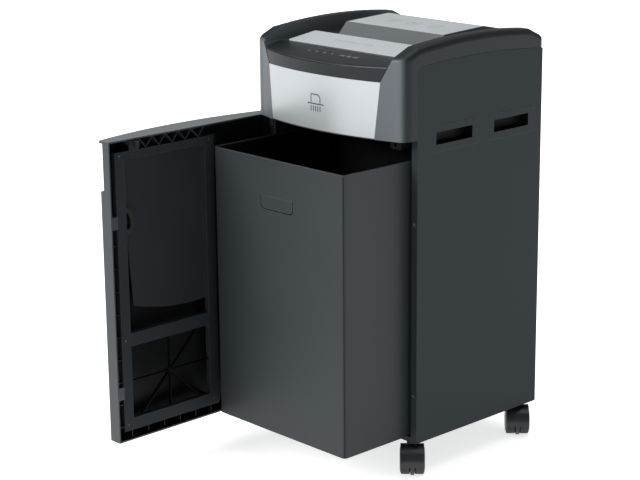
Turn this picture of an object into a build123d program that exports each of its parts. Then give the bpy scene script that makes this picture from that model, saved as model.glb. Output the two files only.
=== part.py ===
"""Office paper shredder on castors, with its door open and its waste bin drawn out.

Millimetres, +Z up, +X to the user's right, front towards -Y.  The origin is on the floor,
under the middle of the cabinet.  Every sub-part is written to parts/NODE.step.
"""

import math
import os

from build123d import *

# ---- cabinet -----------------------------------------------------------------------------
CABINET_W = 430.0
CABINET_D = 370.0
FLOOR_GAP = 70.0            # floor to the cabinet's lower edge
SIDE_T = 16.0
BACK_T = 6.0
BASE_T = 10.0
PANEL_FRONT_H = 772.0       # side panel height at its front corner, arch and rear corner
PANEL_ARCH_H = 779.0
PANEL_REAR_H = 768.0
PANEL_CORNER_R = 14.0
PANEL_EDGE = 0.8            # chamfer round the outer face

# ---- moulded grip inserts in the side panels ----------------------------------------------
GRIP_W = 106.0
GRIP_H = 25.5
GRIP_Z = 625.0              # window centre above the cabinet's lower edge
GRIP_Y = (-80.0, 90.0)      # window centres along the depth
GRIP_FRAME = 14.0           # frame width round each window
GRIP_FRAME_T = 1.6
GRIP_SEAM = 0.8             # visible gap on the frame's upper and front edges
GRIP_CUP_DEPTH = 24.0
GRIP_WALL = 2.0

# ---- head: cheeks, fascia and nose ---------------------------------------------------------
HEAD_Z = 629.0              # underside above the cabinet's lower edge
HEAD_BOW = 30.0             # how far the front bows out in the middle
HEAD_REACH = 40.0           # overhang in front of the cabinet at the cheeks
HEAD_CORNER_R = 24.0
HEAD_CORNER_SET = 3.0       # the corner starts this far behind the bow's ends
RIM_W = 32.0                # width of the cheek's arched rim
RIM_RISE = 40.0             # rim crown above the panel's arch
RIM_ENDS = (5.0, 35.0)      # arch's ends: behind the front plane and before the rear one
RIM_DROPS = (10.0, 9.0)     # and their drops below the crown
RIM_CROWN_Y = 10.0
RIM_NOSE_DROP = 42.0        # foot of the rim's front slope, below the crown
RIM_TAIL_DROP = 27.0
RIM_TAIL_R = 12.0
RIM_EDGE_R = 13.0
COLUMN_FOOT_W = 67.5        # width of the cheek's front column at its foot
COLUMN_SEAM_W = 54.5        # the same at the top of the fascia
COLUMN_TOP_RISE = 41.0      # the column meets the rim this far above the fascia
REAR_LIP = 4.0
WALL = 3.0                  # moulded wall
FIT = 0.4                   # gap between neighbouring mouldings
FASCIA_H = 112.0
FASCIA_T = 2.5
TRIM_H = 2.0                # dark strip left under the fascia
NOSE_FRONT_H = 27.0
NOSE_SLOPE = 10.0           # degrees
NOSE_EDGE_R = 5.0

# ---- keys and indicators -------------------------------------------------------------------
KEY_X = (34.0, 52.0, 70.0)
KEY_SIZE = (13.0, 8.0, 6.0)
KEY_RISE = 1.0
KEY_GAP = 0.35
LAMP_X = (-64.0, -42.0, -19.0, 3.0)
LAMP_R = 3.5
CONTROL_BACK = 26.0         # row of keys in front of the nose's rear edge
KEY_EDGE = 0.6
LENS_GAP = 2.0              # light guide below the nose's wall
LENS_PROUD = 0.2
CONTROL_BOARD = (190.0, 36.0, 8.0)      # keyboard board: width, depth, drop below the wall
BOARD_POST_R = 2.5

# ---- top of the head -----------------------------------------------------------------------
DECK_Z = 768.0              # above the cabinet's lower edge
GUIDE_FRONT_W = 306.0
GUIDE_REAR_W = 302.0
GUIDE_D = 72.0
GUIDE_FRONT_H = 20.0
GUIDE_REAR_H = 30.0
GUIDE_FRONT_GAP = 1.0       # behind the nose
PLATE_T = 2.5
THROAT_GAP = 10.0
THROAT_W = 236.0
THROAT_Y = -107.0
LINER_T = 2.0
LINER_H = 35.0
SUPPORT_PAST_THROAT = 22.0  # the riser is wider than the throat by this much a side
RISER_FOOT = 30.0           # foot of the slanted riser, behind the throat
RISER_TOP_H = 42.0
RISER_D = 70.0              # its top edge, behind the throat
REAR_PLATE_D = 122.0
REAR_PLATE_RISE = 5.0
REAR_PLATE_SIDE = 4.0
SUPPORT_END_H = 28.0
SUPPORT_REAR_GAP = 4.0

# ---- cutter block --------------------------------------------------------------------------
BULKHEAD_T = 5.0
BLOCK_PAST_THROAT = 10.0    # cutters and chute are wider than the throat by this much a side
CHUTE_D = 76.0
CUTTER_Z = 700.0            # shaft height above the cabinet's lower edge
SHAFT_SPACING = 38.0
DISC_R = 21.5
CORE_R = 14.5
DISC_PITCH = 9.0
DISC_T = 4.0
DISC_END_GAP = 6.5          # side plate to the last disc, at least
JOURNAL_R = 8.0
RUNNING_FIT = 0.05
FRAME_T = 6.0
FRAME_H = 118.0
FRAME_TAIL = 6.0            # side plate past the motor
SHAFT_END_GAP = 0.5
FRAME_MARGIN = 24.0
TIE_ROD_R = 4.0
COMB_FINGER_T = 2.4
COMB_BAR = (4.8, 8.0)       # depth and height of the comb's bar
COMB_GAP = 0.8              # comb to disc and core
GEAR_FACE = 10.0
GEAR_GAP = 2.0
TIMING_TEETH = 19
TIMING_MODULE = 2.0
TRAIN_MODULE = 1.5
DRIVE_TEETH = 44
IDLER_TEETH = 40
PINION_TEETH = 12
AXLE_R = 5.0
MOTOR_R = 37.0
MOTOR_L = 96.0
MOTOR_SHAFT_R = 4.0
MOTOR_SHAFT_IN = 30.0       # length of the shaft inside the motor
MOTOR_CAP_L = 14.0
MOTOR_CAP_STEP = 3.0

# ---- electrics -----------------------------------------------------------------------------
BOARD_T = 1.6
POWER_BOARD_W = 110.0
POWER_BOARD_D = 90.0
POWER_BOARD_LEFT = 49.0     # from the cabinet's inner wall
POWER_BOARD_BEHIND = 51.0   # from the rear cutter's disc edge
POWER_POST = (3.0, 6.0)     # radius and height of the posts
CAPACITOR = (11.0, 30.0, 25.0, 30.0)            # radius, height, place on the board
RELAY = (28.0, 20.0, 18.0, 50.0, 15.0)          # width, depth, height, place
CHOKE = (35.0, 30.0, 24.0, 55.0, 50.0)
INLET_SIZE = (30.0, 24.0)
INLET_X = 130.0
ROCKER_SIZE = (14.0, 20.0)
ROCKER_X = 85.0
REAR_SERVICE_Z = 665.0      # inlet and rocker height above the cabinet's lower edge
SERVICE_BEZEL = 3.0
BEZEL_T = 2.0
INLET_BODY_D = 22.0
INLET_WELL_D = 16.0
INLET_WALL = 3.0
INLET_PINS = ((-7.0, -3.0), (7.0, -3.0), (0.0, 3.0))
PIN_HALF = (1.0, 2.0)
ROCKER_SIDE_GAP = 0.5
ROCKER_END_GAP = 1.2
ROCKER_SINK = 0.4           # rocker's crests below the back face
ROCKER_DIP = 1.1
ROCKER_BODY_D = 6.5
SLOT_ROWS = 6
SLOT_PITCH = 12.0
SLOT_HALF_H = 2.5
SLOT_X = (-150.0, -30.0)

# ---- door ----------------------------------------------------------------------------------
DOOR_GAP = 3.0              # between the cabinet's front and the closed door
DOOR_HEAD_GAP = 3.5         # between the door's top and the head
DOOR_DROP = 3.0             # below the cabinet's lower edge
DOOR_EDGE_T = 29.5
DOOR_BOW = 26.0
DOOR_OPEN = 90.0            # degrees, at rest
PIN_X = 4.0                 # hinge pin, in from the cabinet's side and front
PIN_Y = 2.5
PIN_R = 2.0
LUG_R = 4.0
LUG_H = 14.0
LUG_INSET = 18.0            # lug centre from the door's top and bottom
LUG_ROOM = 1.0
FRAME_DIP = 4.0             # inner frame face below the door's rim
FRAME_DEPTH = 12.0
FRAME_START = 156.0         # inner frame, measured from the hinge
FRAME_FREE_GAP = 18.0       # frame to the door's free edge
STILE_W = 23.0
TOP_RAIL = (584.0, 600.0)
MID_RAIL = (196.0, 223.0)
BOTTOM_RAIL = (17.0, 42.0)
PANEL_START = 140.0
PANEL_FOOT = 276.0
PANEL_SLANT = 20.0
RIB_T = 1.6
RIB_PITCH = 48.0
STAR_RIBS = 4
RIB_DIP = 6.0               # channel ribs below the door's rim
FOOT_RIBS = 6
STAR_DIP = 4.0              # star ribs below the frame's face
BOSS_R = 5.0
SCREW_R = 2.2
SCREW_HOLE_L = 3.0
RECESS_W = 10.0             # finger recess in the free edge
RECESS_H = 98.0
RECESS_DROP = 5.0
CATCH_Z = (101.0, 459.0)
CATCH_R = 3.5
CATCH_L = 8.0
CATCH_PROUD = 0.8
KEEPER_H = 26.0
KEEPER_DIP = 2.0
TAB_T = 4.0
TAB_H = 12.0
TAB_REACH = 11.0            # past the cabinet's front plane when shut
TAB_FROM_HINGE = 362.0
TAB_Z = 613.5               # above the cabinet's lower edge
TAB_FOOT = (11.0, 2.0)      # half width and thickness of the tab's foot
SWITCH_BODY = (14.0, 3.0, 30.0)     # half width, front and rear behind the front plane
SWITCH_WALL = 3.0
SWITCH_GAP = (1.0, 2.0)     # tab's clearance in the slot, sideways and up or down

# ---- bin -----------------------------------------------------------------------------------
BIN_SIDE_GAP = 9.0          # bin to the side panels
BIN_HOME = 36.0             # bin's front behind the cabinet's, when shut
BIN_REAR_GAP = 2.0
BIN_TOP_GAP = 45.5          # bin's rim to the head
BIN_T = 2.5
BIN_LIFT = 0.5              # above the base board
BIN_OUT = 178.0             # drawn out past the cabinet's front, at rest
BIN_CORNER_R = 8.0
HAND_W = 96.0
HAND_H = 28.0
HAND_Z = 494.0              # above the cabinet's lower edge
HAND_R = 11.0
HAND_GAP = 2.0
HAND_HINGE_GAP = 0.3

# ---- bin-full flap -------------------------------------------------------------------------
FLAP_W = 90.0
FLAP_L = 28.0
FLAP_T = 2.0
FLAP_PIN_R = 2.0
FLAP_LUG_T = 4.0
FLAP_LUG_HALF = 5.0
FLAP_LUG_GAP = 1.0
FLAP_BEHIND = 8.0           # pivot behind the chute
FLAP_DROP = 6.0             # pivot below the head

# ---- castors -------------------------------------------------------------------------------
CASTOR_INSET = 33.0         # stem in from the cabinet's sides
CASTOR_SETBACK = 22.0       # and from its front and rear
CASTOR_TRAIL = 20.0
CASTOR_YAW = -45.0          # direction in which the wheels trail
WHEEL_R = 30.0
WHEEL_T = 19.5
WHEEL_SIDE_GAP = 0.6
HUB_R = 7.0
WEB_T = 8.0
FENDER_GAP = 1.2
FENDER_T = 2.0
STEM_R = 5.5
STEM_FLOOR = 1.0            # board left over the stem
STEM_GAP = 0.5
STEM_ROOT = 2.0             # stem's length inside the neck
NECK_BACK = 7.5             # neck past the stem's middle
NECK_HALF_W = 11.0
NECK_ROOT = 52.5            # neck's lower face above the floor
NECK_FOOT_GAP = 1.0         # neck below the door's foot
WHEEL_EDGE_R = 3.0

# ---- places worked out from the sizes above --------------------------------------------------
HALF_W = CABINET_W / 2
FRONT = -CABINET_D / 2
REAR = CABINET_D / 2
INSIDE = HALF_W - SIDE_T
BOTTOM = FLOOR_GAP
HEAD_BOTTOM = BOTTOM + HEAD_Z
HEAD_BOW_HALF = HALF_W - HEAD_CORNER_R - 1.0
RIM_CROWN = BOTTOM + PANEL_ARCH_H + RIM_RISE
DECK_TOP = BOTTOM + DECK_Z
NOSE_BOTTOM = HEAD_BOTTOM + TRIM_H + FASCIA_H
RIM_INSIDE = HALF_W - RIM_W
HEAD_SIDE_Y = FRONT - HEAD_REACH
HEAD_MID_Y = HEAD_SIDE_Y - HEAD_BOW
GUIDE_FRONT_Y = FRONT + GUIDE_FRONT_GAP
GUIDE_REAR_Y = THROAT_Y - THROAT_GAP / 2
THROAT_REAR_Y = THROAT_Y + THROAT_GAP / 2
SUPPORT_HALF = THROAT_W / 2 + SUPPORT_PAST_THROAT
SUPPORT_FRONT_Y = THROAT_REAR_Y + RISER_FOOT
BLOCK_HALF = THROAT_W / 2 + BLOCK_PAST_THROAT
DISC_COUNT = int((2 * (BLOCK_HALF - DISC_END_GAP)) // DISC_PITCH)
SHAFT_Y = (THROAT_Y - SHAFT_SPACING / 2, THROAT_Y + SHAFT_SPACING / 2)
SHAFT_Z = BOTTOM + CUTTER_Z
BULKHEAD_TOP = HEAD_BOTTOM + BULKHEAD_T
FRAME_X = BLOCK_HALF
GEAR_X = FRAME_X + FRAME_T + GEAR_GAP
IDLER_Y = SHAFT_Y[1] + TRAIN_MODULE * (DRIVE_TEETH + IDLER_TEETH) / 2
MOTOR_Y = IDLER_Y + TRAIN_MODULE * (IDLER_TEETH + PINION_TEETH) / 2
HINGE_X = -HALF_W + PIN_X
HINGE_Y = FRONT + PIN_Y
DOOR_INNER = FRONT - DOOR_GAP
DOOR_DEPTH = DOOR_EDGE_T + DOOR_BOW
DOOR_Z0 = BOTTOM - DOOR_DROP
DOOR_Z1 = HEAD_BOTTOM - DOOR_HEAD_GAP
LUG_Z = (DOOR_Z0 + LUG_INSET, DOOR_Z1 - LUG_INSET)
FRAME_FACE = DOOR_INNER - FRAME_DIP
FRAME_BACK = FRAME_FACE - FRAME_DEPTH
FRAME_END = CABINET_W - PIN_X - FRAME_FREE_GAP
BIN_Z = BOTTOM + BASE_T + BIN_LIFT
BIN_W = 2 * (INSIDE - BIN_SIDE_GAP)
BIN_D = CABINET_D - BACK_T - BIN_HOME - BIN_REAR_GAP
BIN_H = HEAD_BOTTOM - BIN_TOP_GAP - BIN_Z
BIN_FRONT = FRONT - BIN_OUT
CASTOR_X = HALF_W - CASTOR_INSET
CASTOR_Y = (FRONT + CASTOR_SETBACK, REAR - CASTOR_SETBACK)
AXLE_Z = WHEEL_R


# ---- small helpers ---------------------------------------------------------------------------
def block(x0, x1, y0, y1, z0, z1):
    """A box given by its low and high faces."""
    return Pos((x0 + x1) / 2, (y0 + y1) / 2, (z0 + z1) / 2) * Box(x1 - x0, y1 - y0, z1 - z0)


def along_x(face, x0, x1):
    """Extrude a face drawn in (y, z) from x0 to x1."""
    return extrude(Plane.YZ.offset(x0) * face, x1 - x0)


def along_y(face, y0, y1):
    """Extrude a face drawn in (x, z) from y0 to y1."""
    return extrude(Plane.XZ.offset(-y1) * face, y1 - y0)


def along_z(face, z0, z1):
    """Extrude a face drawn in (x, y) from z0 to z1."""
    return extrude(Plane.XY.offset(z0) * face, z1 - z0)


def polygon(*points):
    """A closed face through the given points."""
    return make_face(Polyline(*points, close=True))


def rod_x(radius, x0, x1, y, z):
    """A round bar along X."""
    return along_x(Pos(y, z) * Circle(radius), x0, x1)


def rod_z(radius, x, y, z0, z1):
    """A round bar along Z."""
    return along_z(Pos(x, y) * Circle(radius), z0, z1)


def mirrored(solid):
    """The left-hand twin of a right-hand piece."""
    return mirror(solid, about=Plane.YZ)


def gear_face(teeth, module, tooth_angle):
    """Straight-flanked gear outline; one tooth is centred on tooth_angle (degrees)."""
    pitch_r = teeth * module / 2
    tip_r = pitch_r + 0.9 * module
    root_r = pitch_r - 1.15 * module
    step = 360.0 / teeth
    root_half, tip_half = 0.27 * step, 0.12 * step
    points = []
    for index in range(teeth):
        centre = tooth_angle + index * step
        for radius, angle in ((root_r, centre - root_half), (tip_r, centre - tip_half),
                              (tip_r, centre + tip_half), (root_r, centre + root_half)):
            turn = math.radians(angle)
            points.append((radius * math.cos(turn), radius * math.sin(turn)))
    return polygon(*points)


# ---- cabinet ---------------------------------------------------------------------------------
def panel_face():
    """Outline of a side panel in (y, z), with its arched top."""
    front_top = (FRONT, BOTTOM + PANEL_FRONT_H)
    rear_top = (REAR, BOTTOM + PANEL_REAR_H)
    crown = (0.0, BOTTOM + PANEL_ARCH_H)
    edges = Polyline(front_top, (FRONT, BOTTOM), (REAR, BOTTOM), rear_top)
    edges += ThreePointArc(rear_top, crown, front_top)
    face = make_face(edges)
    front_corner = face.vertices().group_by(Axis.X)[0].sort_by(Axis.Y)[-1]
    return fillet(front_corner, PANEL_CORNER_R)


def grip_boxes(margin_low, margin_high, x0, x1):
    """Boxes round both grip windows: margins are (front, lower) and (rear, upper)."""
    boxes = []
    for y in GRIP_Y:
        boxes.append(block(x0, x1,
                           y - GRIP_W / 2 - margin_low[0], y + GRIP_W / 2 + margin_high[0],
                           BOTTOM + GRIP_Z - GRIP_H / 2 - margin_low[1],
                           BOTTOM + GRIP_Z + GRIP_H / 2 + margin_high[1]))
    return boxes


def side_panel_right():
    """Flat panel with chamfered edges, windows for the grips and holes for the door catches."""
    panel = along_x(panel_face(), INSIDE, HALF_W)
    panel = chamfer(panel.faces().sort_by(Axis.X)[-1].edges(), PANEL_EDGE)
    low = (GRIP_FRAME + GRIP_SEAM, GRIP_FRAME)
    high = (GRIP_FRAME, GRIP_FRAME + GRIP_SEAM)
    for pocket in grip_boxes(low, high, HALF_W - GRIP_FRAME_T, HALF_W + 1):
        panel -= pocket
    cup = GRIP_WALL
    for opening in grip_boxes((cup, cup), (cup, cup), INSIDE - 1, HALF_W + 1):
        panel -= opening
    for z in CATCH_Z:
        centre = Pos(HALF_W - SIDE_T / 2, BOTTOM + z) * Circle(CATCH_R)
        panel -= along_y(centre, FRONT - 1, FRONT + CATCH_L - CATCH_PROUD)
    return panel


def side_panel_left():
    """Twin of the right panel, notched at its front edge for the hinge lugs and pins."""
    panel = along_x(panel_face(), -HALF_W, -INSIDE)
    panel = chamfer(panel.faces().sort_by(Axis.X)[0].edges(), PANEL_EDGE)
    low = (GRIP_FRAME + GRIP_SEAM, GRIP_FRAME)
    high = (GRIP_FRAME, GRIP_FRAME + GRIP_SEAM)
    for pocket in grip_boxes(low, high, -HALF_W - 1, -HALF_W + GRIP_FRAME_T):
        panel -= pocket
    cup = GRIP_WALL
    for opening in grip_boxes((cup, cup), (cup, cup), -HALF_W - 1, -INSIDE + 1):
        panel -= opening
    swing = math.hypot(LUG_R, PIN_Y + DOOR_GAP) + LUG_ROOM
    for z in LUG_Z:
        half = LUG_H / 2 + LUG_ROOM
        panel -= block(-HALF_W - 1, HINGE_X + swing, FRONT - 1, HINGE_Y + swing, z - half, z + half)
        panel -= rod_z(PIN_R, HINGE_X, HINGE_Y, z - LUG_H, z + LUG_H)
    return panel


def grip_insert_right():
    """Moulding behind the windows: two framed cups joined by a strap inside the panel."""
    frame_x0 = HALF_W - GRIP_FRAME_T
    insert = Part()
    for plate in grip_boxes((GRIP_FRAME, GRIP_FRAME), (GRIP_FRAME, GRIP_FRAME), frame_x0, HALF_W):
        insert += plate
    cup_x0 = HALF_W - GRIP_CUP_DEPTH
    cup = GRIP_WALL
    for shell in grip_boxes((cup, cup), (cup, cup), cup_x0, HALF_W):
        insert += shell
    insert += block(cup_x0, INSIDE, GRIP_Y[0], GRIP_Y[1],
                    BOTTOM + GRIP_Z - GRIP_H / 2, BOTTOM + GRIP_Z + GRIP_H / 2)
    for hollow in grip_boxes((0, 0), (0, 0), cup_x0 + GRIP_WALL, HALF_W + 1):
        insert -= hollow
    return insert


def back_panel():
    """Rear sheet with cooling slots and the cut-outs for the inlet and the rocker."""
    panel = block(-INSIDE, INSIDE, REAR - BACK_T, REAR, BOTTOM + BASE_T, DECK_TOP - WALL)
    for row in range(SLOT_ROWS):
        z = BOTTOM + CUTTER_Z + SLOT_PITCH * row
        panel -= block(*SLOT_X, REAR - BACK_T - 1, REAR + 1, z - SLOT_HALF_H, z + SLOT_HALF_H)
    z = BOTTOM + REAR_SERVICE_Z
    for x, (width, height) in ((INLET_X, INLET_SIZE), (ROCKER_X, ROCKER_SIZE)):
        panel -= block(x - width / 2, x + width / 2, REAR - BACK_T - 1, REAR + 1,
                       z - height / 2, z + height / 2)
    half_w, half_h = (side / 2 + SERVICE_BEZEL for side in INLET_SIZE)
    return panel - block(INLET_X - half_w, INLET_X + half_w, REAR - BEZEL_T, REAR + 1,
                         z - half_h, z + half_h)


def base_board():
    """Floor of the cabinet, bored for the four castor stems."""
    board = block(-INSIDE, INSIDE, FRONT, REAR, BOTTOM, BOTTOM + BASE_T)
    for x in (-CASTOR_X, CASTOR_X):
        for y in CASTOR_Y:
            board -= rod_z(STEM_R + RUNNING_FIT, x, y, BOTTOM - 1, BOTTOM + BASE_T - STEM_FLOOR)
    return board


# ---- castors ---------------------------------------------------------------------------------
def castor_place(x, y):
    """Place of a castor's stem, turned so that its wheels trail."""
    return Pos(x, y, 0) * Rot(0, 0, CASTOR_YAW)


def castor_hood(x, y):
    """Swivelling body: stem, neck, centre web and the fender over both wheels."""
    fender_r = WHEEL_R + FENDER_GAP
    outer_r = fender_r + FENDER_T
    half_width = WEB_T / 2 + WHEEL_SIDE_GAP + WHEEL_T
    ring = Circle(outer_r) - Circle(fender_r)
    ring -= Pos(0, -outer_r) * Rectangle(3 * outer_r, 2 * outer_r - WHEEL_R / 3)
    section = Plane.XZ.offset(-half_width) * (Pos(CASTOR_TRAIL, AXLE_Z) * ring)
    body = extrude(section, 2 * half_width)
    web = Plane.XZ.offset(-WEB_T / 2) * (Pos(CASTOR_TRAIL, AXLE_Z) * Circle(outer_r - FENDER_T / 2))
    body += extrude(web, WEB_T)
    neck_top = FLOOR_GAP - DOOR_DROP - NECK_FOOT_GAP
    body += block(-NECK_BACK, CASTOR_TRAIL, -NECK_HALF_W, NECK_HALF_W, NECK_ROOT, neck_top)
    body -= along_y(Pos(CASTOR_TRAIL, AXLE_Z) * Circle(fender_r), WEB_T / 2, half_width + 1)
    body -= along_y(Pos(CASTOR_TRAIL, AXLE_Z) * Circle(fender_r), -half_width - 1, -WEB_T / 2)
    body += rod_z(STEM_R, 0, 0, neck_top - STEM_ROOT, FLOOR_GAP + BASE_T - STEM_FLOOR - STEM_GAP)
    body -= along_y(Pos(CASTOR_TRAIL, AXLE_Z) * Circle(HUB_R + RUNNING_FIT), -WEB_T, WEB_T)
    return castor_place(x, y) * body


def castor_wheels(x, y):
    """Two wheels on one hub that runs in the hood's web."""
    inner = WEB_T / 2 + WHEEL_SIDE_GAP
    pair = along_y(Pos(CASTOR_TRAIL, AXLE_Z) * Circle(HUB_R), -inner, inner)
    for y0 in (-inner - WHEEL_T, inner):
        wheel = along_y(Pos(CASTOR_TRAIL, AXLE_Z) * Circle(WHEEL_R), y0, y0 + WHEEL_T)
        pair += fillet(wheel.edges().filter_by(GeomType.CIRCLE), WHEEL_EDGE_R)
    return castor_place(x, y) * pair


# ---- head casing -----------------------------------------------------------------------------
def head_plan():
    """Outline of the head seen from above: bowed front, rounded front corners."""
    left, right = (-HEAD_BOW_HALF, HEAD_SIDE_Y), (HEAD_BOW_HALF, HEAD_SIDE_Y)
    edges = ThreePointArc(left, (0, HEAD_MID_Y), right)
    corner_y = HEAD_SIDE_Y + HEAD_CORNER_SET
    far = REAR + 2 * REAR_LIP
    edges += Polyline(right, (HALF_W, corner_y), (HALF_W, far), (-HALF_W, far),
                      (-HALF_W, corner_y), left)
    face = make_face(edges)
    corners = [v for v in face.vertices() if abs(v.Y - corner_y) < 0.1]
    return fillet(corners, HEAD_CORNER_R)


def cheek_face():
    """Outline of a cheek in (y, z): front column, arched rim and rear lip."""
    arch_front = (FRONT + RIM_ENDS[0], RIM_CROWN - RIM_DROPS[0])
    arch_rear = (REAR - RIM_ENDS[1], RIM_CROWN - RIM_DROPS[1])
    edges = ThreePointArc(arch_front, (RIM_CROWN_Y, RIM_CROWN), arch_rear)
    edges += Polyline(arch_rear, (REAR + REAR_LIP, RIM_CROWN - RIM_TAIL_DROP),
                      (REAR + REAR_LIP, HEAD_BOTTOM), (HEAD_MID_Y, HEAD_BOTTOM),
                      (HEAD_MID_Y, RIM_CROWN - RIM_NOSE_DROP), arch_front)
    face = make_face(edges)
    rear_corner = [v for v in face.vertices()
                   if abs(v.X - REAR - REAR_LIP) < 0.1 and v.Y > HEAD_BOTTOM + 1]
    return fillet(rear_corner, RIM_TAIL_R)


def between_cheeks(gap):
    """Front view of the space between the two cheeks, less a gap, in (x, z)."""
    foot = HALF_W - COLUMN_FOOT_W - gap
    seam = HALF_W - COLUMN_SEAM_W - gap
    rim = RIM_INSIDE - gap
    rim_z = NOSE_BOTTOM + COLUMN_TOP_RISE
    top = DECK_TOP + 80.0
    return polygon((-foot, HEAD_BOTTOM - 1), (foot, HEAD_BOTTOM - 1), (seam, NOSE_BOTTOM),
                   (rim, rim_z), (rim, top), (-rim, top), (-rim, rim_z), (-seam, NOSE_BOTTOM))


def head_end(inset):
    """Right end of the head as one sharp-edged solid, sunk by 'inset'."""
    side, plan = cheek_face(), head_plan()
    if inset:
        side, plan = offset(side, -inset), offset(plan, -inset)
    solid = along_x(side, INSIDE / 2, HALF_W - inset)
    return solid & along_z(plan, HEAD_BOTTOM - 1, DECK_TOP + 80)


def cheek_right():
    """Hollow moulding: front column beside the fascia and rim over the side panel."""
    outer = head_end(0)
    upper = [edge for edge in outer.edges()
             if edge.center().Z > DECK_TOP + 12 and edge.center().X > INSIDE / 2 + 1]
    across = [edge for edge in upper
              if edge.geom_type == GeomType.LINE and abs(edge.tangent_at(0).X) > 0.99]
    cheek = fillet([edge for edge in upper if edge not in across], RIM_EDGE_R)
    core = head_end(RIM_EDGE_R - (RIM_EDGE_R - WALL) / math.sqrt(2))
    core -= along_y(between_cheeks(-WALL), HEAD_MID_Y - 20, REAR + 20)
    cheek -= core
    cheek -= along_y(between_cheeks(0), HEAD_MID_Y - 20, REAR + 20)
    cheek -= along_x(panel_face(), INSIDE, HALF_W + 1)
    cheek -= block(0, INSIDE, FRONT, REAR + 20, HEAD_BOTTOM - 1, DECK_TOP)
    return cheek


def bowed_wall(depth, thickness, z0, z1, gap):
    """Part of the bowed front: a wall that starts 'depth' behind the head's front curve."""
    plan = offset(head_plan(), -depth) if depth else head_plan()
    wall = along_z(plan - offset(head_plan(), -depth - thickness), z0, z1)
    wall &= along_y(between_cheeks(gap), HEAD_MID_Y - 20, FRONT - HEAD_REACH / 2)
    return wall


def fascia_plate():
    """Silver plate on the bowed front."""
    z0 = HEAD_BOTTOM + TRIM_H
    return bowed_wall(0, FASCIA_T, z0, z0 + FASCIA_H - FIT, FIT)


def fascia_carrier():
    """Dark carrier behind the plate; its lower lip shows as a strip below the plate."""
    z0 = HEAD_BOTTOM
    carrier = bowed_wall(FASCIA_T, WALL, z0, z0 + TRIM_H + FASCIA_H - FIT, 0)
    carrier += bowed_wall(0, FASCIA_T + WALL, z0, z0 + TRIM_H, 0)
    floor = along_z(offset(head_plan(), -FASCIA_T), z0, z0 + WALL)
    floor &= along_y(between_cheeks(0), HEAD_MID_Y - 20, FRONT)
    return carrier + floor


def control_plane():
    """Sloping top of the nose; its origin is the middle of the nose's rear edge."""
    rear_z = NOSE_BOTTOM + NOSE_FRONT_H + (FRONT - HEAD_MID_Y) * math.tan(math.radians(NOSE_SLOPE))
    normal = Vector(0, -math.sin(math.radians(NOSE_SLOPE)), math.cos(math.radians(NOSE_SLOPE)))
    return Plane(origin=(0, FRONT, rear_z), x_dir=(1, 0, 0), z_dir=normal)


def nose_block(depth, gap):
    """The nose's outer shape, or the same shape sunk by 'depth' all round."""
    plan = offset(head_plan(), -depth) if depth else head_plan()
    nose = along_z(plan, NOSE_BOTTOM - (5 if depth else 0), DECK_TOP + 60)
    nose &= along_y(between_cheeks(gap + depth), HEAD_MID_Y - 20, FRONT - depth)
    above = control_plane().offset(-depth) * Rectangle(3 * CABINET_W, 3 * CABINET_W)
    return nose - extrude(above, 200)


def control_nose():
    """Hollow nose over the fascia, with holes for the keys and the indicator lenses."""
    nose = nose_block(0, FIT)
    front_edges = [edge for edge in nose.edges()
                   if edge.geom_type != GeomType.LINE and edge.center().Z > NOSE_BOTTOM + 5]
    nose = fillet(front_edges, NOSE_EDGE_R)
    nose -= nose_block(WALL, FIT)
    plane = control_plane()
    for x in KEY_X:
        hole = plane * (Pos(x, -CONTROL_BACK) * Rectangle(KEY_SIZE[0] + 2 * KEY_GAP,
                                                          KEY_SIZE[1] + 2 * KEY_GAP))
        nose -= extrude(hole, 20, both=True)
    for x in LAMP_X:
        nose -= extrude(plane * (Pos(x, -CONTROL_BACK) * Circle(LAMP_R)), 20, both=True)
    return nose


def key(x):
    """One push key, standing a little above the nose."""
    base = control_plane().offset(KEY_RISE - KEY_SIZE[2])
    cap = extrude(base * (Pos(x, -CONTROL_BACK) * Rectangle(KEY_SIZE[0], KEY_SIZE[1])), KEY_SIZE[2])
    return chamfer(cap.faces().sort_by(Axis.Z)[-1].edges(), KEY_EDGE)


def indicator_bar():
    """Light guide under the nose with one lens in each hole."""
    base = control_plane().offset(-WALL - LENS_GAP)
    middle = (LAMP_X[0] + LAMP_X[-1]) / 2
    span = LAMP_X[-1] - LAMP_X[0] + 4 * LAMP_R
    bar = extrude(base * (Pos(middle, -CONTROL_BACK) * Rectangle(span, 3 * LAMP_R)),
                  LENS_GAP - FIT)
    for x in LAMP_X:
        bar += extrude(base * (Pos(x, -CONTROL_BACK) * Circle(LAMP_R - RUNNING_FIT)),
                       WALL + LENS_GAP + LENS_PROUD)
    return bar


def control_board():
    """Circuit board on four posts under the nose."""
    width, depth, drop = CONTROL_BOARD
    base = control_plane().offset(-WALL - drop)
    board = extrude(base * (Pos(0, -CONTROL_BACK) * Rectangle(width, depth)), BOARD_T)
    inset = 2 * BOARD_POST_R
    for x in (-width / 2 + inset, width / 2 - inset):
        for y in (-CONTROL_BACK - depth / 2 + inset, -CONTROL_BACK + depth / 2 - inset):
            board += extrude(base * (Pos(x, y) * Circle(BOARD_POST_R)), drop)
    return board


# ---- top of the head --------------------------------------------------------------------------
def top_deck():
    """Flat deck between the side panels with the throat cut through it."""
    deck = block(-INSIDE, INSIDE, FRONT, REAR, DECK_TOP - WALL, DECK_TOP)
    return deck - block(-THROAT_W / 2, THROAT_W / 2, GUIDE_REAR_Y, THROAT_REAR_Y,
                        DECK_TOP - WALL - 1, DECK_TOP + 1)


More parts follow.
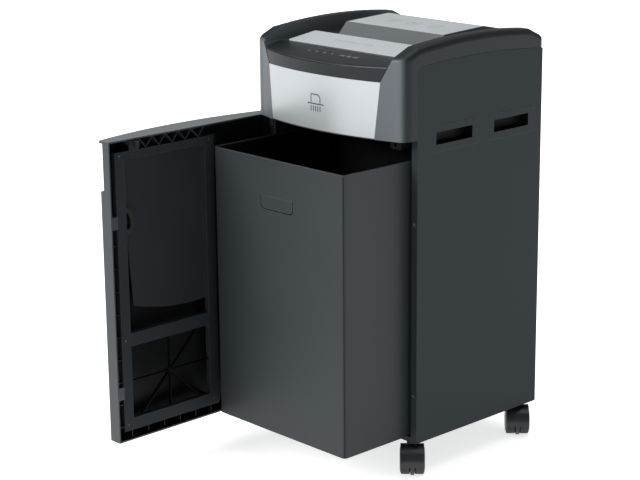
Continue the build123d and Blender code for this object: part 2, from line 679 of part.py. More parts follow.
def guide_outline(sink, inset):
    """Side view of the front guide, lowered by 'sink' and shortened by 'inset' at both ends."""
    return polygon((GUIDE_FRONT_Y + inset, DECK_TOP - (1 if sink else 0)),
                   (GUIDE_FRONT_Y + inset, DECK_TOP + GUIDE_FRONT_H - sink),
                   (GUIDE_REAR_Y - inset, DECK_TOP + GUIDE_REAR_H - sink),
                   (GUIDE_REAR_Y - inset, DECK_TOP - (1 if sink else 0)))


def guide_plan(inset):
    """Plan of the front guide: it narrows towards the throat."""
    front, rear = GUIDE_FRONT_W / 2 - inset, GUIDE_REAR_W / 2 - inset
    return polygon((-front, GUIDE_FRONT_Y), (front, GUIDE_FRONT_Y),
                   (rear, GUIDE_REAR_Y), (-rear, GUIDE_REAR_Y))


def front_guide():
    """Hollow wedge that carries the front plate and leads the sheet into the throat."""
    tall = DECK_TOP + 60
    wedge = along_x(guide_outline(PLATE_T, 0), -CABINET_W, CABINET_W)
    wedge &= along_z(guide_plan(0), DECK_TOP, tall)
    core = along_x(guide_outline(PLATE_T + WALL, WALL), -CABINET_W, CABINET_W)
    return wedge - (core & along_z(guide_plan(WALL), DECK_TOP - 1, tall))


def guide_plate():
    """Pale plate on the front guide."""
    plate = along_x(guide_outline(0, 0) - guide_outline(PLATE_T, 0), -CABINET_W, CABINET_W)
    plate &= along_z(guide_plan(0), DECK_TOP + PLATE_T, DECK_TOP + 60)
    return plate


def support_outline(sink, inset):
    """Side view of the riser and the slope behind it."""
    low = DECK_TOP - (1 if sink else 0)
    riser_end = THROAT_REAR_Y + RISER_D
    plate_end = riser_end + REAR_PLATE_D
    tail = REAR - SUPPORT_REAR_GAP
    return polygon((SUPPORT_FRONT_Y + 2 * inset, low),
                   (riser_end + inset / 2, DECK_TOP + RISER_TOP_H - sink),
                   (plate_end, DECK_TOP + RISER_TOP_H + REAR_PLATE_RISE - sink),
                   (tail - inset, DECK_TOP + SUPPORT_END_H - sink),
                   (tail - inset, low))


def rear_support():
    """Hollow riser behind the throat, with a shallow seat for the rear plate."""
    half = SUPPORT_HALF
    body = along_x(support_outline(0, 0), -half, half)
    body -= along_x(support_outline(WALL + PLATE_T, WALL), -half + WALL, half - WALL)
    return body - rear_plate()


def rear_plate():
    """Pale plate let into the top of the riser."""
    half = SUPPORT_HALF - REAR_PLATE_SIDE
    plate = along_x(support_outline(0, 0), -half, half)
    plate -= Pos(0, 0, -PLATE_T) * along_x(support_outline(0, 0), -half - 1, half + 1)
    start = THROAT_REAR_Y + RISER_D
    return plate & block(-half, half, start, start + REAR_PLATE_D, DECK_TOP, DECK_TOP + 80)


def throat_liner():
    """Rectangular duct from the deck down to the cutters."""
    half_x, half_y = THROAT_W / 2, THROAT_GAP / 2
    top = DECK_TOP - WALL
    liner = block(-half_x - LINER_T, half_x + LINER_T, THROAT_Y - half_y - LINER_T,
                  THROAT_Y + half_y + LINER_T, top - LINER_H, top)
    return liner - block(-half_x, half_x, THROAT_Y - half_y, THROAT_Y + half_y,
                         top - LINER_H - 1, top + 1)


# ---- cutter block ------------------------------------------------------------------------------
def bulkhead():
    """Shelf under the head with the chute opening and the lugs of the bin-full flap."""
    shelf = block(-INSIDE, INSIDE, FRONT, REAR - BACK_T, HEAD_BOTTOM, BULKHEAD_TOP)
    half_x, half_y = BLOCK_HALF, CHUTE_D / 2
    shelf -= block(-half_x, half_x, THROAT_Y - half_y, THROAT_Y + half_y,
                   HEAD_BOTTOM - 1, BULKHEAD_TOP + 1)
    cup_x = HALF_W - GRIP_CUP_DEPTH - FIT
    reach = GRIP_W / 2 + GRIP_WALL + FIT
    for x0, x1 in ((-INSIDE - 1, -cup_x), (cup_x, INSIDE + 1)):
        shelf -= block(x0, x1, GRIP_Y[0] - reach, GRIP_Y[1] + reach, HEAD_BOTTOM - 1, BULKHEAD_TOP + 1)
    pin_y, pin_z = flap_axis()
    for side in (-1, 1):
        inner = FLAP_W / 2 + FLAP_LUG_GAP
        x0, x1 = sorted((side * inner, side * (inner + FLAP_LUG_T)))
        lug = block(x0, x1, pin_y - FLAP_LUG_HALF, pin_y + FLAP_LUG_HALF,
                    pin_z - FLAP_LUG_HALF, HEAD_BOTTOM)
        shelf += lug - rod_x(FLAP_PIN_R + RUNNING_FIT, x0 - 1, x1 + 1, pin_y, pin_z)
    return shelf


def flap_axis():
    """Pivot of the bin-full flap, just behind the chute."""
    return THROAT_Y + CHUTE_D / 2 + FLAP_BEHIND, HEAD_BOTTOM - FLAP_DROP


def bin_full_flap():
    """Light flap that hangs behind the chute and is pushed up by a full bin."""
    pin_y, pin_z = flap_axis()
    half = FLAP_W / 2
    flap = block(-half, half, pin_y - FLAP_T / 2, pin_y + FLAP_T / 2, pin_z - FLAP_L, pin_z)
    return flap + rod_x(FLAP_PIN_R, -half - FLAP_LUG_T, half + FLAP_LUG_T, pin_y, pin_z)


def cutter_frame(x0, x1, rear_y):
    """Side plate of the cutter block, bored for both shafts."""
    plate = block(x0, x1, SHAFT_Y[0] - FRAME_MARGIN, rear_y, BULKHEAD_TOP, BULKHEAD_TOP + FRAME_H)
    for y in SHAFT_Y:
        plate -= rod_x(JOURNAL_R + RUNNING_FIT, x0 - 1, x1 + 1, y, SHAFT_Z)
    return plate


def cutter_frame_left():
    """Plain side plate on the timing-gear side."""
    return cutter_frame(-FRAME_X - FRAME_T, -FRAME_X, SHAFT_Y[1] + FRAME_MARGIN)


def cutter_frame_right():
    """Longer side plate that also carries the idler's axle and the motor."""
    plate = cutter_frame(FRAME_X, FRAME_X + FRAME_T, MOTOR_Y + MOTOR_R + FRAME_TAIL)
    plate -= rod_x(MOTOR_SHAFT_R + 2, FRAME_X - 1, FRAME_X + FRAME_T + 1, MOTOR_Y, SHAFT_Z)
    return plate + rod_x(AXLE_R, FRAME_X + FRAME_T / 2, GEAR_X + GEAR_FACE + 2, IDLER_Y, SHAFT_Z)


def disc_profile(first_centre, count):
    """Half section of a toothed cylinder: discs with grooves between them."""
    half = FRAME_X - SHAFT_END_GAP
    points = [(-half, 0), (-half, CORE_R)]
    for index in range(count):
        centre = first_centre + index * DISC_PITCH
        points += [(centre - DISC_T / 2, CORE_R), (centre - DISC_T / 2, DISC_R),
                   (centre + DISC_T / 2, DISC_R), (centre + DISC_T / 2, CORE_R)]
    points += [(half, CORE_R), (half, 0)]
    return polygon(*points)


def cutter_shaft(y, shift, tooth_angle, right_end):
    """Cutter cylinder with its journals and its timing gear."""
    first = -DISC_PITCH * (DISC_COUNT - 1) / 2 + shift
    cylinder = revolve(disc_profile(first, DISC_COUNT), Axis.X)
    cylinder += rod_x(JOURNAL_R, -GEAR_X - GEAR_FACE, right_end, 0, 0)
    cylinder += along_x(gear_face(TIMING_TEETH, TIMING_MODULE, tooth_angle),
                        -GEAR_X - GEAR_FACE, -GEAR_X)
    return Pos(0, y, SHAFT_Z) * cylinder


def cutter_front():
    """Front cutter: a tooth of its timing gear points at the rear shaft."""
    return cutter_shaft(SHAFT_Y[0], -DISC_PITCH / 4, 0.0, FRAME_X + FRAME_T)


def cutter_rear():
    """Rear cutter: a gap of its timing gear faces the front shaft."""
    return cutter_shaft(SHAFT_Y[1], DISC_PITCH / 4, 180.0 + 180.0 / TIMING_TEETH,
                        GEAR_X + GEAR_FACE)


def train_gear(teeth, tooth_angle, y, bore):
    """Gear of the drive train, beside the right side plate."""
    face = gear_face(teeth, TRAIN_MODULE, tooth_angle) - Circle(bore)
    return along_x(Pos(y, SHAFT_Z) * face, GEAR_X, GEAR_X + GEAR_FACE)


def drive_gear():
    """Gear on the rear cutter's shaft."""
    return train_gear(DRIVE_TEETH, 0.0, SHAFT_Y[1], JOURNAL_R)


def idler_gear():
    """Free gear between the drive gear and the pinion."""
    return train_gear(IDLER_TEETH, 180.0 + 180.0 / IDLER_TEETH, IDLER_Y, AXLE_R + RUNNING_FIT)


def motor_pinion():
    """Pinion on the motor's shaft."""
    pinion = train_gear(PINION_TEETH, 180.0, MOTOR_Y, MOTOR_SHAFT_R / 2)
    return pinion + rod_x(MOTOR_SHAFT_R, FRAME_X - MOTOR_SHAFT_IN, GEAR_X + GEAR_FACE, MOTOR_Y, SHAFT_Z)


def motor():
    """Motor can with end caps, screwed to the right side plate."""
    body = rod_x(MOTOR_R - MOTOR_CAP_STEP, FRAME_X - MOTOR_L, FRAME_X, MOTOR_Y, SHAFT_Z)
    for x0 in (FRAME_X - MOTOR_L, FRAME_X - MOTOR_CAP_L):
        body += rod_x(MOTOR_R, x0, x0 + MOTOR_CAP_L, MOTOR_Y, SHAFT_Z)
    return body - rod_x(MOTOR_SHAFT_R + RUNNING_FIT, FRAME_X - MOTOR_SHAFT_IN - 1, FRAME_X + 1,
                        MOTOR_Y, SHAFT_Z)


def tie_rod(y):
    """Spacer rod between the side plates."""
    return rod_x(TIE_ROD_R, -FRAME_X, FRAME_X, y, BULKHEAD_TOP + FRAME_H - 3 * TIE_ROD_R)


def stripper(side):
    """Comb whose fingers reach into the grooves of one cutter; side is -1 front, +1 rear."""
    shaft_y = SHAFT_Y[0] if side < 0 else SHAFT_Y[1]
    bar_near = shaft_y + side * (DISC_R + COMB_GAP)
    bar_far = bar_near + side * COMB_BAR[0]
    tip = shaft_y + side * (CORE_R + COMB_GAP)
    z0 = SHAFT_Z - COMB_BAR[1] / 2
    z1 = z0 + COMB_BAR[1]
    comb = block(-FRAME_X, FRAME_X, *sorted((bar_near, bar_far)), z0, z1)
    first_groove = -DISC_PITCH * (DISC_COUNT - 1) / 2 + side * DISC_PITCH / 4 + DISC_PITCH / 2
    for index in range(DISC_COUNT - 1):
        x = first_groove + index * DISC_PITCH
        comb += block(x - COMB_FINGER_T / 2, x + COMB_FINGER_T / 2, *sorted((bar_near, tip)),
                      z0, z1)
    return comb


def power_board():
    """Supply board on posts behind the cutters, with its capacitor, relay and choke."""
    x0 = -INSIDE + POWER_BOARD_LEFT
    y0 = SHAFT_Y[1] + DISC_R + POWER_BOARD_BEHIND
    x1, y1 = x0 + POWER_BOARD_W, y0 + POWER_BOARD_D
    post_r, post_h = POWER_POST
    seat = BULKHEAD_TOP + post_h
    board = block(x0, x1, y0, y1, seat, seat + BOARD_T)
    for x in (x0 + 2 * post_r, x1 - 2 * post_r):
        for y in (y0 + 2 * post_r, y1 - 2 * post_r):
            board += rod_z(post_r, x, y, BULKHEAD_TOP, seat)
    top = seat + BOARD_T
    radius, height, x, y = CAPACITOR
    board += rod_z(radius, x0 + x, y0 + y, top, top + height)
    for width, depth, height, x, y in (RELAY, CHOKE):
        board += block(x0 + x, x0 + x + width, y0 + y, y0 + y + depth, top, top + height)
    return board


# ---- rear services --------------------------------------------------------------------------------
def mains_inlet():
    """Appliance inlet in the back panel, with a bezel outside and a body inside."""
    half_w, half_h = INLET_SIZE[0] / 2, INLET_SIZE[1] / 2
    z = BOTTOM + REAR_SERVICE_Z
    body = block(INLET_X - half_w, INLET_X + half_w, REAR - INLET_BODY_D, REAR, z - half_h, z + half_h)
    body += block(INLET_X - half_w - SERVICE_BEZEL, INLET_X + half_w + SERVICE_BEZEL, REAR - BEZEL_T,
                  REAR, z - half_h - SERVICE_BEZEL, z + half_h + SERVICE_BEZEL)
    body -= block(INLET_X - half_w + INLET_WALL, INLET_X + half_w - INLET_WALL, REAR - INLET_WELL_D,
                  REAR + 1, z - half_h + INLET_WALL, z + half_h - INLET_WALL)
    pin_w, pin_h = PIN_HALF
    for x, pin_z in INLET_PINS:
        body += block(INLET_X + x - pin_w, INLET_X + x + pin_w, REAR - INLET_WELL_D - 1,
                      REAR - INLET_WALL, z + pin_z - pin_h, z + pin_z + pin_h)
    return body


def rocker_switch():
    """Rocker that tips about a level axis in the back panel."""
    width, height = ROCKER_SIZE
    z = BOTTOM + REAR_SERVICE_Z
    half = height / 2 - ROCKER_END_GAP
    crest = REAR - ROCKER_SINK
    back = crest - ROCKER_BODY_D
    side = polygon((back, z - half), (crest, z - half), (crest - ROCKER_DIP, z),
                   (crest, z + half), (back, z + half))
    half_w = width / 2 - ROCKER_SIDE_GAP
    return along_x(side, ROCKER_X - half_w, ROCKER_X + half_w)


# ---- door -------------------------------------------------------------------------------------------
def opened(solid):
    """Turn a piece drawn on the closed door to the door's rest pose."""
    return Pos(HINGE_X, HINGE_Y, 0) * Rot(0, 0, -DOOR_OPEN) * Pos(-HINGE_X, -HINGE_Y, 0) * solid


def door_plan(depth):
    """Plan of the closed door: straight inside, bowed outside, sunk by 'depth'."""
    half = HALF_W - depth
    inner = DOOR_INNER + (1 if depth else 0)
    edge = DOOR_INNER - DOOR_EDGE_T + depth
    edges = ThreePointArc((-half, edge), (0, edge - DOOR_BOW), (half, edge))
    edges += Polyline((half, edge), (half, inner), (-half, inner), (-half, edge))
    return make_face(edges)


def door_recess(grow):
    """Finger recess at the outer corner of the free edge."""
    x0 = HALF_W - RECESS_W - grow
    y1 = DOOR_INNER - DOOR_EDGE_T + RECESS_W + grow
    z1 = DOOR_Z1 - RECESS_DROP + grow
    return block(x0, HALF_W + 1, y1 - 40, y1, DOOR_Z1 - RECESS_DROP - RECESS_H - grow, z1)


def channel_ribs():
    """Thin webs across the channel along the free edge and across the foot of the door."""
    ribs = Part()
    x0, x1 = HINGE_X + FRAME_END, HALF_W
    z = BOTTOM + CATCH_Z[1] - RIB_PITCH
    while z > BOTTOM:
        ribs += block(x0, x1, DOOR_INNER - DOOR_DEPTH, DOOR_INNER - RIB_DIP, z, z + RIB_T)
        z -= RIB_PITCH
    for index in range(FOOT_RIBS):
        x = HINGE_X + FRAME_START + (index + 0.5) * (FRAME_END - FRAME_START) / FOOT_RIBS
        ribs += block(x, x + RIB_T, DOOR_INNER - DOOR_DEPTH, DOOR_INNER - RIB_DIP,
                      DOOR_Z0, BOTTOM + BOTTOM_RAIL[0])
    return ribs


def frame_corners():
    """Places of the six screws that hold the inner frame."""
    xs = (HINGE_X + FRAME_START + STILE_W / 2, HINGE_X + FRAME_END - STILE_W / 2)
    zs = [BOTTOM + sum(rail) / 2 for rail in (BOTTOM_RAIL, MID_RAIL, TOP_RAIL)]
    return [(x, z) for x in xs for z in zs]


def door_shell():
    """Bowed outer shell with its ribs, bosses, finger recess and hinge lugs."""
    shell = along_z(door_plan(0), DOOR_Z0, DOOR_Z1) - door_recess(0)
    hollow = along_z(door_plan(WALL), DOOR_Z0 + WALL, DOOR_Z1 - WALL) - door_recess(WALL)
    inside = channel_ribs()
    for x, z in frame_corners():
        inside += along_y(Pos(x, z) * Circle(BOSS_R), FRAME_BACK - DOOR_DEPTH, FRAME_BACK)
    shell -= hollow - inside
    for z in LUG_Z:
        z0, z1 = z - LUG_H / 2, z + LUG_H / 2
        lug = rod_z(LUG_R, HINGE_X, HINGE_Y, z0, z1)
        lug += block(HINGE_X - LUG_R, HINGE_X + LUG_R, DOOR_INNER, HINGE_Y, z0, z1)
        lug += block(-HALF_W, HINGE_X + LUG_R, DOOR_INNER - 12, DOOR_INNER, z0, z1)
        shell += lug
        shell -= rod_z(PIN_R + RUNNING_FIT, HINGE_X, HINGE_Y, z0 - 1, z1 + 1)
    return opened(shell)


def hinge_pin(z):
    """Pin pressed into the left panel above and below a lug."""
    return rod_z(PIN_R, HINGE_X, HINGE_Y, z - LUG_H, z + LUG_H)


def star_ribs():
    """Ribs that fan out from the middle of the frame's lower window and stiffen it."""
    x0, x1 = HINGE_X + FRAME_START + STILE_W / 2, HINGE_X + FRAME_END - STILE_W / 2
    z0, z1 = BOTTOM + sum(BOTTOM_RAIL) / 2, BOTTOM + sum(MID_RAIL) / 2
    middle = Pos((x0 + x1) / 2, (FRAME_BACK + FRAME_FACE - STAR_DIP) / 2, (z0 + z1) / 2)
    ribs = Part()
    for index in range(STAR_RIBS):
        turn = Rot(0, index * 180.0 / STAR_RIBS, 0)
        ribs += middle * turn * Box(600, FRAME_DEPTH - STAR_DIP, RIB_T)
    return ribs & block(x0, x1, FRAME_BACK, FRAME_FACE, z0, z1)


def door_frame():
    """Inner frame: two stiles, three rails and the star of ribs, with the screw holes."""
    x0, x1 = HINGE_X + FRAME_START, HINGE_X + FRAME_END
    z0, z1 = BOTTOM + BOTTOM_RAIL[0], BOTTOM + TOP_RAIL[1]
    frame = block(x0, x1, FRAME_BACK, FRAME_FACE, z0, z1)
    for low, high in ((BOTTOM_RAIL[1], MID_RAIL[0]), (MID_RAIL[1], TOP_RAIL[0])):
        frame -= block(x0 + STILE_W, x1 - STILE_W, FRAME_BACK - 1, FRAME_FACE + 1,
                       BOTTOM + low, BOTTOM + high)
    frame += star_ribs()
    for x, z in frame_corners():
        frame -= along_y(Pos(x, z) * Circle(SCREW_R), FRAME_FACE - SCREW_HOLE_L, FRAME_FACE + 1)
    return opened(frame)


def door_panel():
    """Large panel behind the upper opening, slanted on its free side and curved at its foot."""
    left, right = HINGE_X + PANEL_START, HINGE_X + FRAME_END - STILE_W + 6
    top, foot = BOTTOM + TOP_RAIL[1], BOTTOM + PANEL_FOOT
    low_right = right - PANEL_SLANT - 6
    edges = Polyline((low_right, foot), (right, top), (left, top), (left, foot - 18))
    edges += ThreePointArc((left, foot - 18), ((left + low_right) / 2, foot - 22), (low_right, foot))
    face = make_face(edges)
    for place in frame_corners():
        face -= Pos(*place) * Circle(BOSS_R + FIT)
    return opened(along_y(face, FRAME_BACK - PLATE_T, FRAME_BACK))


def door_tab():
    """Tab on the top rail that reaches the interlock switch when the door shuts."""
    x = HINGE_X + TAB_FROM_HINGE
    z = BOTTOM + TAB_Z
    tab = block(x - TAB_FOOT[0], x + TAB_FOOT[0], FRAME_FACE, FRAME_FACE + TAB_FOOT[1],
                BOTTOM + sum(TOP_RAIL) / 2, z + TAB_H / 2)
    tab += block(x - TAB_T / 2, x + TAB_T / 2, FRAME_FACE, FRONT + TAB_REACH,
                 z - TAB_H / 2, z + TAB_H / 2)
    return opened(tab)


def interlock_switch():
    """Slotted switch under the bulkhead; the door's tab enters its slot."""
    x = HINGE_X + TAB_FROM_HINGE
    z = BOTTOM + TAB_Z
    half_w, front, rear = SWITCH_BODY
    slot_w, slot_h = TAB_T / 2 + SWITCH_GAP[0], TAB_H / 2 + SWITCH_GAP[1]
    body = block(x - half_w, x + half_w, FRONT + front, FRONT + rear,
                 z - slot_h - SWITCH_WALL, HEAD_BOTTOM)
    return body - block(x - slot_w, x + slot_w, FRONT, FRONT + TAB_REACH + SWITCH_WALL,
                        z - slot_h, z + slot_h)


def catch(z):
    """Magnetic catch set into the right panel's front edge."""
    centre = Pos(HALF_W - SIDE_T / 2, BOTTOM + z) * Circle(CATCH_R)
    return along_y(centre, FRONT - CATCH_PROUD, FRONT + CATCH_L - CATCH_PROUD)


def keeper(z):
    """Steel keeper in the door's edge channel, opposite a catch."""
    middle = BOTTOM + z
    return opened(block(HINGE_X + FRAME_END, HALF_W - WALL, FRAME_BACK, DOOR_INNER - KEEPER_DIP,
                        middle - KEEPER_H / 2, middle + KEEPER_H / 2))


# ---- bin ------------------------------------------------------------------------------------------
def hand_outline(grow):
    """Hand hole in (x, z): flat on top, well rounded below."""
    half = HAND_W / 2 + grow
    z0, z1 = BOTTOM + HAND_Z - HAND_H / 2 - grow, BOTTOM + HAND_Z + HAND_H / 2
    face = polygon((-half, z1), (-half, z0), (half, z0), (half, z1))
    return fillet(face.vertices().group_by(Axis.Y)[0], HAND_R)


def bin_body():
    """Tall open bin with a hand hole in front."""
    half = BIN_W / 2
    y0, y1 = BIN_FRONT, BIN_FRONT + BIN_D
    body = block(-half, half, y0, y1, BIN_Z, BIN_Z + BIN_H)
    body = fillet(body.edges().filter_by(Axis.Z), BIN_CORNER_R)
    hollow = block(-half + BIN_T, half - BIN_T, y0 + BIN_T, y1 - BIN_T,
                   BIN_Z + BIN_T, BIN_Z + BIN_H + 1)
    body -= fillet(hollow.edges().filter_by(Axis.Z), BIN_CORNER_R - BIN_T)
    return body - along_y(hand_outline(0), y0 - 1, y0 + BIN_T + 1)


def hand_flap():
    """Flap that closes the hand hole and swings in about its upper edge."""
    flap = along_y(hand_outline(-HAND_GAP), BIN_FRONT, BIN_FRONT + BIN_T)
    top = BOTTOM + HAND_Z + HAND_H / 2
    return flap - block(-HAND_W, HAND_W, BIN_FRONT - 1, BIN_FRONT + BIN_T + 1,
                        top - HAND_HINGE_GAP, top + 5)


# ---- all the pieces --------------------------------------------------------------------------------
def pieces():
    """Every node of the part, by name."""
    nodes = {
        "side_panel_right": side_panel_right(),
        "side_panel_left": side_panel_left(),
        "grip_insert_right": grip_insert_right(),
        "grip_insert_left": mirrored(grip_insert_right()),
        "back_panel": back_panel(),
        "base_board": base_board(),
        "cheek_right": cheek_right(),
        "cheek_left": mirrored(cheek_right()),
        "fascia_plate": fascia_plate(),
        "fascia_carrier": fascia_carrier(),
        "control_nose": control_nose(),
        "indicator_bar": indicator_bar(),
        "control_board": control_board(),
        "top_deck": top_deck(),
        "front_guide": front_guide(),
        "guide_plate": guide_plate(),
        "rear_support": rear_support(),
        "rear_plate": rear_plate(),
        "throat_liner": throat_liner(),
        "bulkhead": bulkhead(),
        "bin_full_flap": bin_full_flap(),
        "cutter_frame_left": cutter_frame_left(),
        "cutter_frame_right": cutter_frame_right(),
        "cutter_front": cutter_front(),
        "cutter_rear": cutter_rear(),
        "drive_gear": drive_gear(),
        "idler_gear": idler_gear(),
        "motor_pinion": motor_pinion(),
        "motor": motor(),
        "tie_rod_front": tie_rod(SHAFT_Y[0] - FRAME_MARGIN / 2),
        "tie_rod_rear": tie_rod(SHAFT_Y[1] + FRAME_MARGIN / 2),
        "stripper_front": stripper(-1),
        "stripper_rear": stripper(1),
        "power_board": power_board(),
        "mains_inlet": mains_inlet(),
        "rocker_switch": rocker_switch(),
        "interlock_switch": interlock_switch(),
        "door_shell": door_shell(),
        "door_frame": door_frame(),
        "door_panel": door_panel(),
        "door_tab": door_tab(),
        "bin_body": bin_body(),
        "hand_flap": hand_flap(),
    }
    for name, z in zip(("lower", "upper"), LUG_Z):
        nodes[f"hinge_pin_{name}"] = hinge_pin(z)
    for name, z in zip(("lower", "upper"), CATCH_Z):
        nodes[f"catch_{name}"] = catch(z)
        nodes[f"keeper_{name}"] = keeper(z)
    for name, x in zip(("reverse", "power", "forward"), KEY_X):
        nodes[f"key_{name}"] = key(x)
    for row, y in zip(("front", "rear"), CASTOR_Y):
        for side, x in zip(("left", "right"), (-CASTOR_X, CASTOR_X)):
            nodes[f"castor_hood_{row}_{side}"] = castor_hood(x, y)
            nodes[f"castor_wheels_{row}_{side}"] = castor_wheels(x, y)
    return nodes


os.makedirs("parts", exist_ok=True)
for node_name, solid in pieces().items():
    export_step(solid, f"parts/{node_name}.step")
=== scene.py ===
"""Office paper shredder on castors: its finishes, small fittings, light and camera."""
import math

import bpy
import numpy as np
from mathutils import Matrix, Vector


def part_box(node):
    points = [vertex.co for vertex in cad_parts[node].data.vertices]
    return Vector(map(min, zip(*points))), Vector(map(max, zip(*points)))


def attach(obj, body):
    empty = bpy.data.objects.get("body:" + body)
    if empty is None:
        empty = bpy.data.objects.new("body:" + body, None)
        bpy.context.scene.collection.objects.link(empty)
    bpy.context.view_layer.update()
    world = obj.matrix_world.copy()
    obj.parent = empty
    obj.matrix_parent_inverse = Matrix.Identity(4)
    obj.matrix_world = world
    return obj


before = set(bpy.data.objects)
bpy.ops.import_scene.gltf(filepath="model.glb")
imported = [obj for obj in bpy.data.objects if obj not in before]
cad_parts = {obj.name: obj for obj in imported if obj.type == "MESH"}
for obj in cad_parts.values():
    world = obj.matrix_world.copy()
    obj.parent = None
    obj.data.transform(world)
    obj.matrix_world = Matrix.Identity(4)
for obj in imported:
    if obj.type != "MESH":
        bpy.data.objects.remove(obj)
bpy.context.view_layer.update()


# ---- Cabinet carcass -------------------------------------------------------------------------
# Two side panels, a thin rear sheet and a base board.  Boards faced with a charcoal laminate
# that has a fine pebbled texture; cut edges rub slightly paler.
def linear(red, green, blue):
    """Linear colour of an 8-bit colour: the standard curve, ((c + 0.055) / 1.055) ** 2.4."""
    c = np.array([red, green, blue]) / 255.0
    rgb = np.where(c <= 0.04045, c / 12.92, ((c + 0.055) / 1.055) ** 2.4)
    return (*map(float, rgb), 1.0)


def node_group(name, inputs, outputs):
    """An empty shader group with named inputs (label, kind, value) and outputs (label, kind)."""
    tree = bpy.data.node_groups.new(name, "ShaderNodeTree")
    for label, kind, value in inputs:
        socket = tree.interface.new_socket(label, in_out="INPUT", socket_type=kind)
        socket.default_value = value
    for label, kind in outputs:
        tree.interface.new_socket(label, in_out="OUTPUT", socket_type=kind)
    return tree, tree.nodes.new("NodeGroupInput"), tree.nodes.new("NodeGroupOutput")


def math_node(tree, operation, first, second=None, clamp=False):
    """One Math node; a number is set on its socket and an output is linked to it."""
    node = tree.nodes.new("ShaderNodeMath")
    node.operation = operation
    node.use_clamp = clamp
    for socket, value in zip(node.inputs, (first, second)):
        if isinstance(value, bpy.types.NodeSocket):
            tree.links.new(value, socket)
        elif value is not None:
            socket.default_value = value
    return node.outputs[0]


def make_skin_group():
    """Cloudy tone, roughness and a fine pebbled height over a surface, from two noises."""
    colour, number = "NodeSocketColor", "NodeSocketFloat"
    tree, source, sink = node_group(
        "Textured skin",
        [("Deep", colour, (0, 0, 0, 1)), ("Pale", colour, (1, 1, 1, 1)), ("Grain", number, 900.0),
         ("Cloud", number, 7.0), ("Rough low", number, 0.4), ("Rough high", number, 0.6)],
        [("Color", colour), ("Roughness", number), ("Height", number)])
    place = tree.nodes.new("ShaderNodeTexCoord")
    noises = {}
    for label, detail in (("Grain", 2.0), ("Cloud", 5.0)):
        noise = tree.nodes.new("ShaderNodeTexNoise")
        noise.inputs["Detail"].default_value = detail
        tree.links.new(place.outputs["Object"], noise.inputs["Vector"])
        tree.links.new(source.outputs[label], noise.inputs["Scale"])
        noises[label] = noise.outputs["Fac"]
    spread = tree.nodes.new("ShaderNodeMapRange")
    spread.inputs["From Min"].default_value = 0.3
    spread.inputs["From Max"].default_value = 0.7
    tree.links.new(noises["Cloud"], spread.inputs["Value"])
    speck = math_node(tree, "MULTIPLY", noises["Grain"], 0.35)
    factor = math_node(tree, "ADD", math_node(tree, "MULTIPLY", spread.outputs[0], 0.65), speck,
                       clamp=True)
    tint = tree.nodes.new("ShaderNodeMix")
    tint.data_type = "RGBA"
    tree.links.new(factor, tint.inputs["Factor"])
    tree.links.new(source.outputs["Deep"], tint.inputs["A"])
    tree.links.new(source.outputs["Pale"], tint.inputs["B"])
    rough = tree.nodes.new("ShaderNodeMapRange")
    tree.links.new(factor, rough.inputs["Value"])
    tree.links.new(source.outputs["Rough low"], rough.inputs["To Min"])
    tree.links.new(source.outputs["Rough high"], rough.inputs["To Max"])
    tree.links.new(tint.outputs["Result"], sink.inputs["Color"])
    tree.links.new(rough.outputs[0], sink.inputs["Roughness"])
    tree.links.new(noises["Grain"], sink.inputs["Height"])
    return tree


def make_edge_group():
    """Mask of rubbed edges: one less the cosine between the true and the rounded normal."""
    number = "NodeSocketFloat"
    tree, source, sink = node_group(
        "Rubbed edge", [("Width", number, 0.002), ("Strength", number, 1.0)], [("Mask", number)])
    rounded = tree.nodes.new("ShaderNodeBevel")
    rounded.samples = 4
    tree.links.new(source.outputs["Width"], rounded.inputs["Radius"])
    true = tree.nodes.new("ShaderNodeNewGeometry")
    dot = tree.nodes.new("ShaderNodeVectorMath")
    dot.operation = "DOT_PRODUCT"
    tree.links.new(rounded.outputs[0], dot.inputs[0])
    tree.links.new(true.outputs["Normal"], dot.inputs[1])
    turned = math_node(tree, "SUBTRACT", 1.0, dot.outputs["Value"], clamp=True)
    place = tree.nodes.new("ShaderNodeTexCoord")
    patch = tree.nodes.new("ShaderNodeTexNoise")
    patch.inputs["Scale"].default_value = 60.0
    tree.links.new(place.outputs["Object"], patch.inputs["Vector"])
    worn = math_node(tree, "MULTIPLY", math_node(tree, "MULTIPLY", turned, patch.outputs["Fac"]),
                     math_node(tree, "MULTIPLY", source.outputs["Strength"], 6.0), clamp=True)
    tree.links.new(worn, sink.inputs["Mask"])
    return tree


SKIN = make_skin_group()
EDGE = make_edge_group()


